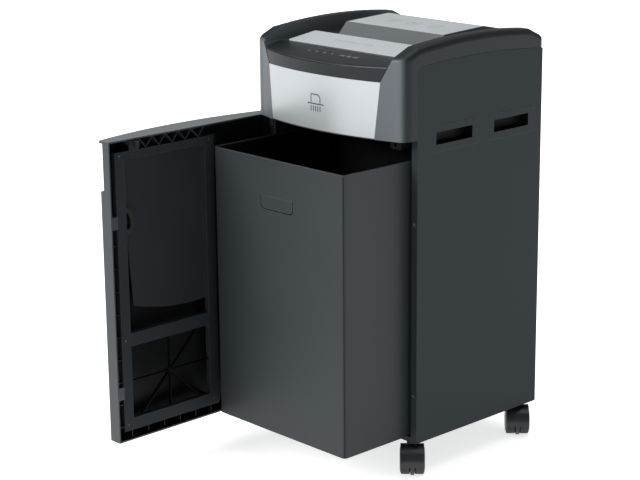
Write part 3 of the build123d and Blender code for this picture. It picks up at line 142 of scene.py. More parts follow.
def finish(name, deep, pale, rough=(0.45, 0.6), grain=900.0, cloud=7.0, relief=0.04, rub=0.3,
           worn=None, metallic=0.0, specular=0.5, coat=0.0):
    """A moulded, painted or plated finish.  Colours are 8-bit, relief is in millimetres."""
    material = bpy.data.materials.new(name)
    material.use_nodes = True
    tree = material.node_tree
    shader = tree.nodes["Principled BSDF"]
    shader.inputs["Metallic"].default_value = metallic
    shader.inputs["Specular IOR Level"].default_value = specular
    shader.inputs["Coat Weight"].default_value = coat
    shader.inputs["Coat Roughness"].default_value = 0.12
    skin = tree.nodes.new("ShaderNodeGroup")
    skin.node_tree = SKIN
    for label, value in (("Deep", linear(*deep)), ("Pale", linear(*pale)), ("Grain", grain),
                         ("Cloud", cloud), ("Rough low", rough[0]), ("Rough high", rough[1])):
        skin.inputs[label].default_value = value
    edge = tree.nodes.new("ShaderNodeGroup")
    edge.node_tree = EDGE
    edge.inputs["Strength"].default_value = rub
    blend = tree.nodes.new("ShaderNodeMix")
    blend.data_type = "RGBA"
    blend.name = "Worn tint"
    tree.links.new(edge.outputs["Mask"], blend.inputs["Factor"])
    tree.links.new(skin.outputs["Color"], blend.inputs["A"])
    blend.inputs["B"].default_value = linear(*(worn or tuple(min(255, c + 45) for c in pale)))
    bump = tree.nodes.new("ShaderNodeBump")
    bump.inputs["Strength"].default_value = 0.35
    bump.inputs["Distance"].default_value = relief / 1000.0
    tree.links.new(skin.outputs["Height"], bump.inputs["Height"])
    tree.links.new(blend.outputs["Result"], shader.inputs["Base Color"])
    tree.links.new(skin.outputs["Roughness"], shader.inputs["Roughness"])
    tree.links.new(bump.outputs["Normal"], shader.inputs["Normal"])
    return material


def dress(material, *names):
    """Puts a finish on CAD pieces through their material slots."""
    for name in names:
        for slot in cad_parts[name].material_slots:
            slot.material = material


laminate = finish("charcoal laminate", (34, 41, 45), (41, 48, 52), rough=(0.55, 0.7),
                  grain=700.0, cloud=3.0, relief=0.09, rub=0.35, specular=0.2)
dress(laminate, "side_panel_right", "side_panel_left", "base_board")
rear_sheet = finish("charcoal rear sheet", (33, 38, 41), (41, 46, 49), rough=(0.5, 0.65),
                    grain=900.0, cloud=2.5, relief=0.06, rub=0.25, specular=0.3)
dress(rear_sheet, "back_panel")


# ---- Screws of the rear sheet ----------------------------------------------------------------
# Zinc-plated pan-head screws with a cross recess, driven along both long edges of the sheet.
def mesh_piece(name, points, faces, material, slot, body, smooth=True):
    """A new piece from arrays of corners (millimetres) and faces, riding on a body."""
    mesh = bpy.data.meshes.new(name)
    mesh.from_pydata((np.asarray(points, float) / 1000.0).tolist(), [],
                     np.asarray(faces).tolist() if not isinstance(faces, list) else faces)
    mesh.polygons.foreach_set("use_smooth", np.full(len(mesh.polygons), smooth))
    mesh.materials.append(material)
    mesh.update()
    piece = bpy.data.objects.new(name, mesh)
    bpy.context.scene.collection.objects.link(piece)
    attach(piece, body)
    return piece


def grid_faces(rows, columns, wrap_rows=False, wrap_columns=False):
    """Quads of a grid of points numbered row by row, wrapped round where it closes."""
    r = np.arange(rows if wrap_rows else rows - 1)
    c = np.arange(columns if wrap_columns else columns - 1)
    r0, c0 = np.meshgrid(r, c, indexing="ij")
    r1, c1 = (r0 + 1) % rows, (c0 + 1) % columns
    quads = np.stack([r0 * columns + c0, r0 * columns + c1, r1 * columns + c1,
                      r1 * columns + c0], -1)
    return quads.reshape(-1, 4)


def joined(parts):
    """Several (points, faces) pairs as one, with the faces renumbered."""
    points, faces, start = [], [], 0
    for corners, quads in parts:
        points.append(corners)
        faces.append(np.asarray(quads) + start)
        start += len(corners)
    return np.concatenate(points), np.concatenate(faces)


def pan_head(centre, out, radius=3.6, height=1.7):
    """Pan head with a cross recess.  Height over the seat at polar (r, t) is
    height * sqrt(1 - (r / radius) ** 4), less a recess that is deepest at the centre and
    narrows along the four arms; 'out' is the direction in which the head stands proud."""
    turns = np.linspace(0, 2 * np.pi, 32, endpoint=False)
    radii = radius * np.array([0.02, 0.14, 0.28, 0.42, 0.56, 0.7, 0.84, 0.94, 1.0, 1.0])
    r, t = np.meshgrid(radii, turns, indexing="ij")
    up = height * np.sqrt(np.clip(1 - (np.minimum(r / radius, 1)) ** 4, 0, 1))
    across = np.minimum(np.abs(r * np.cos(t)), np.abs(r * np.sin(t)))
    arm = (across < 0.16 * radius) & (r < 0.62 * radius)
    up = up - np.where(arm, 0.75 * height * (1 - r / (0.75 * radius)), 0)
    up[-1] = 0.0
    w = np.asarray(out, float)
    u = np.cross(w, (0.3, 0.1, 1.0) if abs(w[2]) < 0.9 else (1.0, 0.2, 0.0))
    u /= np.linalg.norm(u)
    v = np.cross(w, u)
    points = np.asarray(centre, float) + (r * np.cos(t))[..., None] * u \
        + (r * np.sin(t))[..., None] * v + up[..., None] * w
    faces = grid_faces(len(radii), len(turns), wrap_columns=True)[:, ::-1]
    return points.reshape(-1, 3), faces


screw_zinc = finish("zinc screw", (150, 153, 156), (190, 193, 196), rough=(0.28, 0.42),
                    grain=1500.0, cloud=90.0, relief=0.01, rub=0.2, metallic=1.0)
low, high = (1000.0 * np.array(corner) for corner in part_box("back_panel"))
SCREW_INSET, SCREW_FOOT, SCREW_HEAD, SCREW_ROWS = 9, 22, 28, 4
rear_screws = [pan_head((x, high[1], z), (0, 1, 0))
               for x in (low[0] + SCREW_INSET, 0.0, high[0] - SCREW_INSET)
               for z in np.linspace(low[2] + SCREW_FOOT, high[2] - SCREW_HEAD, SCREW_ROWS)]
mesh_piece("rear_screws", *joined(rear_screws), screw_zinc, "steel", "cabinet")


# ---- Grip inserts ----------------------------------------------------------------------------
# Charcoal mouldings let into each side, with two framed cups to push and lift the cabinet by.
# What lies behind the panel's face, down in the cups, is painted black as shade.
def make_inside_group():
    """Mask of what lies inside a box: the product of six comparisons with its two corners."""
    vector, number = "NodeSocketVector", "NodeSocketFloat"
    tree, source, sink = node_group(
        "Inside a box", [("Low", vector, (0, 0, 0)), ("High", vector, (0, 0, 0))],
        [("Mask", number)])
    place = tree.nodes.new("ShaderNodeTexCoord")
    splits = []
    for socket in (place.outputs["Object"], source.outputs["Low"], source.outputs["High"]):
        split = tree.nodes.new("ShaderNodeSeparateXYZ")
        tree.links.new(socket, split.inputs[0])
        splits.append(split.outputs)
    mask = 1.0
    for axis in "XYZ":
        above = math_node(tree, "GREATER_THAN", splits[0][axis], splits[1][axis])
        below = math_node(tree, "LESS_THAN", splits[0][axis], splits[2][axis])
        mask = math_node(tree, "MULTIPLY", mask, math_node(tree, "MULTIPLY", above, below))
    tree.links.new(mask, sink.inputs["Mask"])
    return tree


INSIDE = make_inside_group()


def tint_base(material, mask, tint):
    """Mixes an 8-bit tint over a finish's colour where the mask is one."""
    tree = material.node_tree
    shader = tree.nodes["Principled BSDF"]
    mix = tree.nodes.new("ShaderNodeMix")
    mix.data_type = "RGBA"
    tree.links.new(mask, mix.inputs["Factor"])
    tree.links.new(shader.inputs["Base Color"].links[0].from_socket, mix.inputs["A"])
    mix.inputs["B"].default_value = linear(*tint)
    tree.links.new(mix.outputs["Result"], shader.inputs["Base Color"])


def inside_mask(material, low, high):
    """Places the box mask in a material, its two corners given in metres."""
    node = material.node_tree.nodes.new("ShaderNodeGroup")
    node.node_tree = INSIDE
    node.inputs["Low"].default_value = low
    node.inputs["High"].default_value = high
    return node.outputs["Mask"]


grip_black = finish("grip moulding", (36, 41, 44), (43, 48, 51), rough=(0.55, 0.7), grain=1100.0,
                    relief=0.05, rub=0.3, specular=0.2)
side_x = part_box("side_panel_right")[1].x
# Painted shade: the insert's faces behind the panel's face, in the cups, are tinted black where
# shade falls.
tint_base(grip_black, inside_mask(grip_black, (-side_x + 0.001, -1, 0), (side_x - 0.001, 1, 2)),
          (0, 0, 0))
dress(grip_black, "grip_insert_right", "grip_insert_left")


# ---- Castors ---------------------------------------------------------------------------------
# Twin-wheel castors, moulded in black nylon: a hood on a steel stem over two wheels whose treads
# are scuffed grey.  A domed cap with a raised ring closes each wheel's hub.
castor_nylon = finish("castor nylon", (22, 23, 25), (33, 35, 37), rough=(0.3, 0.45), grain=800.0,
                      cloud=25.0, relief=0.03, rub=0.5, specular=0.5)
wheel_tread = finish("castor tread", (27, 28, 30), (48, 50, 52), rough=(0.45, 0.7), grain=500.0,
                     cloud=45.0, relief=0.1, rub=0.6, worn=(92, 94, 96), specular=0.4)
cap_nylon = finish("hub cap", (42, 49, 52), (52, 59, 62), rough=(0.3, 0.42), grain=900.0,
                   cloud=30.0, relief=0.02, rub=0.4)
AXLE = np.array([math.sqrt(0.5), math.sqrt(0.5), 0.0])
WHEEL_HALF = 24.1
CAP_R = 26.0


def turned_cap(centre, out, stations, heights):
    """Surface of revolution: heights over the seat at the given radii, turned about 'out'."""
    turns = np.linspace(0, 2 * np.pi, 48, endpoint=False)
    r, t = np.meshgrid(stations, turns, indexing="ij")
    h = np.repeat(np.asarray(heights, float)[:, None], len(turns), 1)
    u = np.cross(out, (0.0, 0.0, 1.0))
    v = np.cross(out, u)
    points = np.asarray(centre) + (r * np.cos(t))[..., None] * u + (r * np.sin(t))[..., None] * v \
        + h[..., None] * np.asarray(out)
    return points.reshape(-1, 3), grid_faces(len(stations), len(turns), wrap_columns=True)[:, ::-1]


cap_radii = CAP_R * np.array([0.01, 0.2, 0.34, 0.4, 0.44, 0.52, 0.6, 0.78, 0.84, 0.9, 0.97, 1.0])
cap_rise = np.array([0.9, 0.9, 0.85, 0.2, 0.0, 0.0, 0.1, 0.35, 1.1, 1.25, 0.9, -0.2]) + 0.1
for place in ("front_left", "front_right", "rear_left", "rear_right"):
    dress(castor_nylon, f"castor_hood_{place}")
    dress(wheel_tread, f"castor_wheels_{place}")
    low, high = (1000.0 * np.array(corner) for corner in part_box(f"castor_wheels_{place}"))
    hub = (low + high) / 2
    caps = [turned_cap(hub + side * WHEEL_HALF * AXLE, side * AXLE, cap_radii, cap_rise)
            for side in (-1.0, 1.0)]
    mesh_piece(f"hub_caps_{place}", *joined(caps), cap_nylon, "castor_black", f"wheels_{place}")


# ---- Cutter block ----------------------------------------------------------------------------
# Two hardened steel cutters between zinc-plated plates, with comb strippers, spacer rods and a
# train of nylon gears to the painted motor.
ground_steel = finish("ground cutter steel", (118, 120, 123), (160, 163, 166), rough=(0.22, 0.4),
                      grain=1400.0, cloud=60.0, relief=0.02, rub=0.6, worn=(205, 207, 210),
                      metallic=1.0)
dress(ground_steel, "cutter_front", "cutter_rear", "tie_rod_front", "tie_rod_rear",
      "motor_pinion", "hinge_pin_lower", "hinge_pin_upper")
zinc_sheet = finish("zinc sheet", (148, 152, 156), (186, 190, 193), rough=(0.3, 0.5), grain=420.0,
                    cloud=38.0, relief=0.03, rub=0.3, metallic=1.0)
dress(zinc_sheet, "cutter_frame_left", "cutter_frame_right")
gear_nylon = finish("gear nylon", (196, 192, 172), (222, 218, 200), rough=(0.35, 0.5), grain=900.0,
                    cloud=20.0, relief=0.02, rub=0.2)
dress(gear_nylon, "drive_gear", "idler_gear", "stripper_front", "stripper_rear")
motor_paint = finish("motor paint", (36, 38, 41), (50, 52, 55), rough=(0.35, 0.5), grain=600.0,
                     cloud=14.0, relief=0.03, rub=0.7, worn=(120, 122, 124))
dress(motor_paint, "motor")


# ---- Electrics -------------------------------------------------------------------------------
# Supply board, keyboard board, appliance inlet, mains rocker and the door's interlock switch.
solder_mask = finish("solder mask", (22, 74, 44), (34, 98, 60), rough=(0.2, 0.35), grain=500.0,
                     cloud=120.0, relief=0.03, rub=0.2)
dress(solder_mask, "power_board", "control_board")
switch_black = finish("switch moulding", (20, 21, 23), (32, 33, 35), rough=(0.35, 0.5),
                      grain=1200.0, cloud=30.0, relief=0.03, rub=0.4)
dress(switch_black, "mains_inlet", "rocker_switch", "interlock_switch")
low, high = (1000.0 * np.array(corner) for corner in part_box("mains_inlet"))
inlet_z = (low[2] + high[2]) / 2
mesh_piece("inlet_screws", *joined([
    pan_head((x, high[1] - 2.0, inlet_z), (0, 1, 0), radius=2.6, height=1.5)
    for x in (low[0] - 5.0, high[0] + 5.0)]), screw_zinc, "steel", "cabinet")


# ---- Head casing -----------------------------------------------------------------------------
# A hollow moulding at each end, satin charcoal-grey, that wraps the front corner and arches over
# the side panel; a silver film plate on a dark carrier between them; a satin nose above it.
cheek_grey = finish("cheek moulding", (86, 92, 96), (95, 101, 105), rough=(0.34, 0.44),
                    grain=1000.0, cloud=5.0, relief=0.02, rub=0.3, specular=0.2)


def flank_shade_mask(material, start, end):
    """Smooth step of the distance from the middle plane, from 'start' to 'end' in metres."""
    tree = material.node_tree
    place = tree.nodes.new("ShaderNodeTexCoord")
    split = tree.nodes.new("ShaderNodeSeparateXYZ")
    tree.links.new(place.outputs["Object"], split.inputs[0])
    ramp = tree.nodes.new("ShaderNodeMapRange")
    ramp.interpolation_type = "SMOOTHSTEP"
    ramp.inputs["From Min"].default_value = start
    ramp.inputs["From Max"].default_value = end
    tree.links.new(math_node(tree, "ABSOLUTE", split.outputs["X"]), ramp.inputs["Value"])
    return ramp.outputs[0]


def lean_light_mask(material, start, end):
    """Smooth step of the surface's upward lean, the normal's z from 'start' to 'end'."""
    tree = material.node_tree
    place = tree.nodes.new("ShaderNodeTexCoord")
    split = tree.nodes.new("ShaderNodeSeparateXYZ")
    tree.links.new(place.outputs["Normal"], split.inputs[0])
    ramp = tree.nodes.new("ShaderNodeMapRange")
    ramp.interpolation_type = "SMOOTHSTEP"
    ramp.inputs["From Min"].default_value = start
    ramp.inputs["From Max"].default_value = end
    tree.links.new(split.outputs["Z"], ramp.inputs["Value"])
    return ramp.outputs[0]


# Painted shade: the cheeks' outer flanks are tinted dark, standing in for the side that the key
# light from the front left does not reach.
tint_base(cheek_grey, flank_shade_mask(cheek_grey, side_x - 0.014, side_x - 0.003), (31, 37, 40))
# Painted shade: upward-leaning faces of the cheeks are tinted darker, standing in for tops that the
# low front key barely lights.
tint_base(cheek_grey, lean_light_mask(cheek_grey, 0.3, 0.9), (26, 30, 33))
dress(cheek_grey, "cheek_right", "cheek_left")
silver_film = finish("silver film", (170, 174, 177), (188, 192, 195), rough=(0.26, 0.36),
                     grain=1600.0, cloud=4.0, relief=0.01, rub=0.1, metallic=0.4)
dress(silver_film, "fascia_plate")
nose_satin = finish("nose moulding", (23, 27, 30), (29, 33, 36), rough=(0.24, 0.34), grain=1300.0,
                    cloud=6.0, relief=0.015, rub=0.04, specular=0.25)
dress(nose_satin, "control_nose")
deck_black = finish("deck moulding", (24, 26, 28), (34, 37, 39), rough=(0.45, 0.6), grain=900.0,
                    cloud=10.0, relief=0.04, rub=0.3)
dress(deck_black, "fascia_carrier", "top_deck", "throat_liner", "bulkhead", "bin_full_flap")

# A printed pictogram on the silver plate: a sheet above the strips that it is cut into.
ink = finish("printed ink", (34, 36, 38), (44, 46, 48), rough=(0.4, 0.5), grain=1500.0,
             cloud=200.0, relief=0.01, rub=0.0)
low, high = (1000.0 * np.array(corner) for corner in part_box("fascia_plate"))
BOW_HALF, BOW = 190.0, 30.0
bow_radius = (BOW_HALF ** 2 + BOW ** 2) / (2 * BOW)
front_y = low[1]


def on_fascia(x, z, lift):
    """Point on the bowed front: the middle's depth plus the sagitta r - sqrt(r^2 - x^2)."""
    return np.stack([x, front_y + bow_radius - np.sqrt(bow_radius ** 2 - x ** 2) - lift, z], -1)


def stroke(path, width, place, lift, closed=False):
    """A printed or raised line: a flat strip of the given width carried along a plane path.
    Its corners are the path moved half a width to each side, at the seat and at 'lift'."""
    path = np.asarray(path, float)
    if closed:
        ahead, behind = np.roll(path, -1, 0), np.roll(path, 1, 0)
    else:
        ahead = np.vstack([path[1:], 2 * path[-1] - path[-2]])
        behind = np.vstack([2 * path[0] - path[1], path[:-1]])
    one, two = ahead - path, path - behind
    one /= np.linalg.norm(one, axis=1, keepdims=True)
    two /= np.linalg.norm(two, axis=1, keepdims=True)
    middle = one + two
    middle /= np.linalg.norm(middle, axis=1, keepdims=True)
    side = np.stack([-middle[:, 1], middle[:, 0]], -1)
    reach = (width / 2) / np.clip(np.abs(np.sum(middle * one, 1)), 0.35, 1)[:, None]
    left, right = path + side * reach, path - side * reach
    ring = [place(*left.T, 0.0), place(*left.T, lift), place(*right.T, lift), place(*right.T, 0.0)]
    points = np.stack(ring, 1).reshape(-1, 3)
    faces = grid_faces(len(path), 4, wrap_rows=closed, wrap_columns=True)
    if not closed:
        last = 4 * (len(path) - 1)
        faces = np.vstack([faces, [[3, 2, 1, 0]], [[last, last + 1, last + 2, last + 3]]])
    return points, faces


def arc(cx, cy, radius, start, end, count=20):
    """Points on a circle's arc, angles in degrees."""
    t = np.radians(np.linspace(start, end, count))
    return np.stack([cx + radius * np.cos(t), cy + radius * np.sin(t)], -1)


def dense(corners, step=1.5):
    """A path through the given corners, cut short enough to follow the bow."""
    pieces = [np.linspace(a, b, max(2, int(math.dist(a, b) / step)), endpoint=False)
              for a, b in zip(corners, corners[1:])]
    return np.vstack(pieces + [corners[-1:]])


mark_z = (low[2] + high[2]) / 2 - 3.0
MARK_W, MARK_LIFT = 2.2, 0.15
SHEET_HALF, SHEET_TOP, FOLD = 13.0, 18.0, 6.0
sheet = [(-SHEET_HALF, mark_z + 1), (-SHEET_HALF, mark_z + SHEET_TOP),
         (SHEET_HALF - FOLD, mark_z + SHEET_TOP), (SHEET_HALF, mark_z + SHEET_TOP - FOLD),
         (SHEET_HALF, mark_z + 1)]
slot = [(-23, mark_z - 1), (23, mark_z - 1)]
mark = [stroke(dense(path), MARK_W, on_fascia, MARK_LIFT) for path in (sheet, slot)]
mark += [stroke([(x, mark_z - 5), (x, mark_z - 16)], MARK_W, on_fascia, MARK_LIFT)
         for x in np.linspace(-SHEET_HALF, SHEET_HALF, 5)]
mesh_piece("fascia_pictogram", *joined(mark), ink, "black_moulding", "cabinet", smooth=False)


# ---- Keys, lamps and their pictograms --------------------------------------------------------
# Three push keys and four lamp lenses in the nose, with pale grey pictograms printed by them.
key_satin = finish("key cap", (70, 75, 78), (84, 89, 92), rough=(0.3, 0.4), grain=1400.0,
                   cloud=60.0, relief=0.02, rub=0.5)
dress(key_satin, "key_reverse", "key_power", "key_forward")
lens = finish("lamp lens", (84, 92, 98), (104, 112, 118), rough=(0.08, 0.15), grain=800.0,
              cloud=80.0, relief=0.01, rub=0.0, coat=0.6)
dress(lens, "indicator_bar")
white_ink = finish("white ink", (140, 144, 147), (156, 160, 163), rough=(0.4, 0.5), grain=1500.0,
                   cloud=150.0, relief=0.01, rub=0.0)
_, key_high = (1000.0 * np.array(corner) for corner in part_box("key_power"))
NOSE_SLOPE = math.radians(10.0)
KEY_RISE = 1.0
nose_point = np.array([0.0, key_high[1], key_high[2]]) \
    - KEY_RISE * np.array([0.0, -math.sin(NOSE_SLOPE), math.cos(NOSE_SLOPE)])


def on_nose(x, y, lift):
    """Point on the sloping top: y runs up the slope from the keys' rear edge."""
    along = np.array([0.0, math.cos(NOSE_SLOPE), math.sin(NOSE_SLOPE)])
    out = np.array([0.0, -math.sin(NOSE_SLOPE), math.cos(NOSE_SLOPE)])
    zero = np.zeros_like(x)
    return nose_point + np.stack([x, zero, zero], -1) + np.multiply.outer(y, along) + lift * out


LAMP_X = (-64.0, -42.0, -19.0, 3.0)
KEY_X = (34.0, 52.0, 70.0)
row = 8.0
signs = []
x = LAMP_X[0]
signs += [([(x - 4, row - 3), (x - 4, row + 5), (x + 4, row + 5), (x + 4, row - 3)], True)]
x = LAMP_X[1]
signs += [([(x - 4, row + 5), (x - 3, row - 3), (x + 3, row - 3), (x + 4, row + 5)], False),
          ([(x - 5, row + 5), (x + 5, row + 5)], False)]
x = LAMP_X[2]
signs += [([(x - 5, row - 3), (x, row + 5), (x + 5, row - 3)], True)]
x = LAMP_X[3]
signs += [(arc(x, row - 1.5, 2.2, 130, 410), False),
          ([(x - 1.4, row + 0.3), (x - 1.4, row + 5.5), (x + 1.4, row + 5.5), (x + 1.4, row + 0.3)],
           False)]
x = KEY_X[0]
signs += [(arc(x, row + 1, 3.4, 60, 330), False),
          ([(x + 1.0, row + 1.6), (x + 1.7, row + 4.0), (x + 4.2, row + 4.6)], False)]
x = KEY_X[1]
signs += [(arc(x, row + 1, 3.6, 125, 415), False), ([(x, row + 1.2), (x, row + 5.6)], False)]
x = KEY_X[2]
signs += [([(x - 4, row + 1), (x + 3.6, row + 1)], False),
          ([(x + 0.8, row - 2.2), (x + 4.2, row + 1), (x + 0.8, row + 4.2)], False)]
strokes = [stroke(path, 1.1, on_nose, 0.1, closed) for path, closed in signs]
mesh_piece("nose_pictograms", *joined(strokes), white_ink, "pale_plate", "cabinet", smooth=False)


# ---- Paper guides ----------------------------------------------------------------------------
# The wedge before the throat and the riser behind it, each with a pale plate let into its top.
# The plates carry only plain marks: a centring line with ticks, and three outline signs.
guide_grey = finish("guide moulding", (74, 78, 81), (84, 88, 91), rough=(0.4, 0.5),
                    grain=1000.0, cloud=8.0, relief=0.03, rub=0.3)
dress(guide_grey, "front_guide", "rear_support")
pale_satin = finish("pale plate", (180, 184, 187), (194, 198, 201), rough=(0.3, 0.42),
                    grain=1300.0, cloud=5.0, relief=0.015, rub=0.15)
dress(pale_satin, "guide_plate", "rear_plate")
grey_ink = finish("grey ink", (134, 138, 142), (146, 150, 154), rough=(0.4, 0.5), grain=1500.0,
                  cloud=150.0, relief=0.01, rub=0.0)
low, high = (1000.0 * np.array(corner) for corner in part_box("guide_plate"))
GUIDE_RISE = 10.0


def on_guide(x, y, lift):
    """Point on the sloping front plate: height grows evenly from its front edge to its rear."""
    z = high[2] - GUIDE_RISE * (high[1] - y) / (high[1] - low[1])
    return np.stack([x, y, z + lift], -1)


middle_y = (low[1] + high[1]) / 2
ticks = [stroke([(-52, middle_y), (52, middle_y)], 1.2, on_guide, 0.1)]
ticks += [stroke([(x, middle_y - 3 - deep), (x, middle_y + 3)], 1.2, on_guide, 0.1)
          for x, deep in zip(np.linspace(-52, 52, 9), (4, 0, 0, 0, 4, 0, 0, 0, 4))]
mesh_piece("guide_marks", *joined(ticks), grey_ink, "grey_moulding", "cabinet", smooth=False)

rear_low, rear_high = (1000.0 * np.array(corner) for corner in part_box("rear_plate"))
PLATE_RISE = 5.0


def on_rear_plate(x, y, lift):
    """Point on the rear plate, which climbs evenly towards the back."""
    z = rear_high[2] - PLATE_RISE * (rear_high[1] - y) / (rear_high[1] - rear_low[1])
    return np.stack([x, y, z + lift], -1)


sign_y = (rear_low[1] + rear_high[1]) / 2
outlines = []
for x in (-60.0, 0.0, 60.0):
    outlines.append(stroke([(x - 11, sign_y - 14), (x - 11, sign_y + 14), (x + 11, sign_y + 14),
                            (x + 11, sign_y - 14)], 1.3, on_rear_plate, 0.1, closed=True))
outlines.append(stroke([(-66, sign_y - 6), (-54, sign_y - 6)], 1.2, on_rear_plate, 0.1))
outlines.append(stroke([(-66, sign_y + 2), (-54, sign_y + 2)], 1.2, on_rear_plate, 0.1))
outlines.append(stroke(arc(0, sign_y, 5, 0, 342), 1.2, on_rear_plate, 0.1, closed=True))
outlines.append(stroke([(54, sign_y - 5), (66, sign_y + 5)], 1.2, on_rear_plate, 0.1))
mesh_piece("rear_plate_marks", *joined(outlines), grey_ink, "grey_moulding", "cabinet",
           smooth=False)


# ---- Door ------------------------------------------------------------------------------------
# Bowed outer shell with an inner frame screwed to six bosses, a large panel behind the upper
# opening and thin webs along the top; all moulded in the same charcoal plastic.
door_outer = finish("door moulding", (47, 52, 54), (54, 59, 61), rough=(0.38, 0.5), grain=900.0,
                    cloud=5.0, relief=0.04, rub=0.4, specular=0.35)
low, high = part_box("door_shell")
BOW_AXIS = Vector((0.6299, -0.3935, 0.0))
SKIN_R = BOW_AXIS.x - low.x
RIM = 0.0015


def hollow_shade_mask(material):
    """Where shade is painted on the door's inner side: inside its rim, and nearer than the outer
    skin to the axis about which the door is bowed."""
    tree = material.node_tree
    place = tree.nodes.new("ShaderNodeTexCoord")
    flat = tree.nodes.new("ShaderNodeVectorMath")
    flat.operation = "MULTIPLY"
    tree.links.new(place.outputs["Object"], flat.inputs[0])
    flat.inputs[1].default_value = (1.0, 1.0, 0.0)
    reach = tree.nodes.new("ShaderNodeVectorMath")
    reach.operation = "DISTANCE"
    tree.links.new(flat.outputs[0], reach.inputs[0])
    reach.inputs[1].default_value = BOW_AXIS
    behind_skin = math_node(tree, "LESS_THAN", reach.outputs["Value"], SKIN_R - RIM)
    inside = inside_mask(material, (low.x, low.y + RIM, low.z + RIM),
                         (-side_x - 0.0022, high.y - RIM, high.z - RIM))
    return math_node(tree, "MULTIPLY", behind_skin, inside)


# Painted light: the door's upward-facing top is tinted paler, as if lit more strongly from above.
tint_base(door_outer, lean_light_mask(door_outer, 0.5, 0.9), (112, 117, 118))
# Painted shade: the hollow inside the door's shell is tinted near black where shade falls.
tint_base(door_outer, hollow_shade_mask(door_outer), (8, 9, 11))
dress(door_outer, "door_shell")
door_inner = finish("door frame moulding", (33, 38, 42), (40, 45, 49), rough=(0.45, 0.58),
                    grain=900.0, cloud=6.0, relief=0.04, rub=0.45, specular=0.15)
frame_low, frame_high = (1000.0 * np.array(corner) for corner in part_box("door_frame"))
BOTTOM_RAIL, MID_RAIL, TOP_RAIL = (87.0, 112.0), (266.0, 293.0), (654.0, 670.0)
STILE_W = 23.0
STAR_DIP = 3.5
# Painted shade: the frame's faces between its stiles, from the bottom rail up to the middle rail,
# are tinted near black where shade falls in the door's hollow.
tint_base(door_inner, inside_mask(
    door_inner, ((frame_low[0] - 1) / 1000, (frame_low[1] + STILE_W) / 1000, BOTTOM_RAIL[1] / 1000),
    ((frame_high[0] - STAR_DIP) / 1000, (frame_high[1] - STILE_W) / 1000, MID_RAIL[0] / 1000)),
    (4, 5, 7))
dress(door_inner, "door_frame", "door_tab")
panel_inner = finish("door panel moulding", (30, 35, 38), (36, 41, 44), rough=(0.45, 0.6),
                     grain=900.0, cloud=5.0, relief=0.04, rub=0.3, specular=0.2)
dress(panel_inner, "door_panel")
keeper_dark = finish("keeper plating", (58, 63, 70), (70, 75, 82), rough=(0.35, 0.5), grain=900.0,
                     cloud=60.0, relief=0.02, rub=0.4, metallic=0.6)
dress(keeper_dark, "keeper_lower", "keeper_upper")
screws = [pan_head((frame_high[0] - 2.9, y, z), (1, 0, 0), radius=2.0, height=1.2)
          for y in (frame_low[1] + STILE_W / 2, frame_high[1] - STILE_W / 2)
          for z in (sum(BOTTOM_RAIL) / 2, sum(MID_RAIL) / 2, sum(TOP_RAIL) / 2)]
mesh_piece("door_frame_screws", *joined(screws), screw_zinc, "steel", "door")


def in_door(y, z, lift):
    """Point in the door's hollow: 'lift' is counted from the back of the webs to the front."""
    return np.stack([np.full_like(y, frame_low[0] - 6.0) + lift, y, z], -1)


web_y = np.linspace(frame_low[1] + 30.0, frame_high[1] - 20.0, 13)
web_z = np.where(np.arange(13) % 2, TOP_RAIL[1] + 1.0, TOP_RAIL[1] + 21.0)
mesh_piece("door_top_webs", *stroke(np.stack([web_y, web_z], -1), 1.8, in_door, 15.0), door_inner,
           "charcoal_shell", "door", smooth=False)
clip_black = finish("clip moulding", (9, 10, 12), (14, 15, 17), rough=(0.4, 0.55), grain=1200.0,
                    cloud=40.0, relief=0.02, rub=0.2)
clip_y = frame_low[1] + STILE_W
CLIP_W, CLIP_DEEP = 9.0, 17.0
clip = stroke([(clip_y, 551), (clip_y + 9, 547), (clip_y + 15, 534), (clip_y + 16, 516),
               (clip_y + 10, 507), (clip_y, 505)], CLIP_W, in_door, CLIP_DEEP)
mesh_piece("door_panel_clip", *clip, clip_black, "black_moulding", "door", smooth=False)


# ---- Hinges and catches ----------------------------------------------------------------------
# Steel pins pressed into the left panel, and two bright magnetic catches in the right panel's edge.
catch_bright = finish("catch plating", (176, 178, 180), (206, 208, 210), rough=(0.2, 0.32),
                      grain=1500.0, cloud=100.0, relief=0.01, rub=0.2, metallic=1.0)
dress(catch_bright, "catch_lower", "catch_upper")


# ---- Waste bin -------------------------------------------------------------------------------
# Tall open bin in satin charcoal plastic with a rounded rim and a hinged flap in its hand hole.
bin_satin = finish("bin moulding", (38, 43, 46), (45, 50, 53), rough=(0.4, 0.52), grain=1000.0,
                   cloud=3.5, relief=0.03, rub=0.4, specular=0.25)
low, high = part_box("bin_body")
# Painted shade: the bin's inner faces are tinted near black, standing in for the shade inside the
# open bin.
tint_base(bin_satin, inside_mask(bin_satin, (low.x + RIM, low.y + RIM, low.z + 0.001),
                                 (high.x - RIM, high.y - RIM, high.z - 0.002)), (6, 7, 9))
dress(bin_satin, "bin_body", "hand_flap")
low, high = 1000.0 * np.array(low), 1000.0 * np.array(high)
BIN_WALL, BIN_CORNER = 2.5, 8.0


def rounded_ring(low, high, radius, inset, count=10):
    """Plan of a rounded rectangle: four quarter circles joined by straight sides."""
    corners = ((high[0], high[1], 0), (low[0], high[1], 90), (low[0], low[1], 180),
               (high[0], low[1], 270))
    points = []
    for x, y, start in corners:
        cx = x - math.copysign(radius, x - (low[0] + high[0]) / 2)
        cy = y - math.copysign(radius, y - (low[1] + high[1]) / 2)
        points.append(arc(cx, cy, radius - inset, start, start + 90, count))
    return np.concatenate(points)


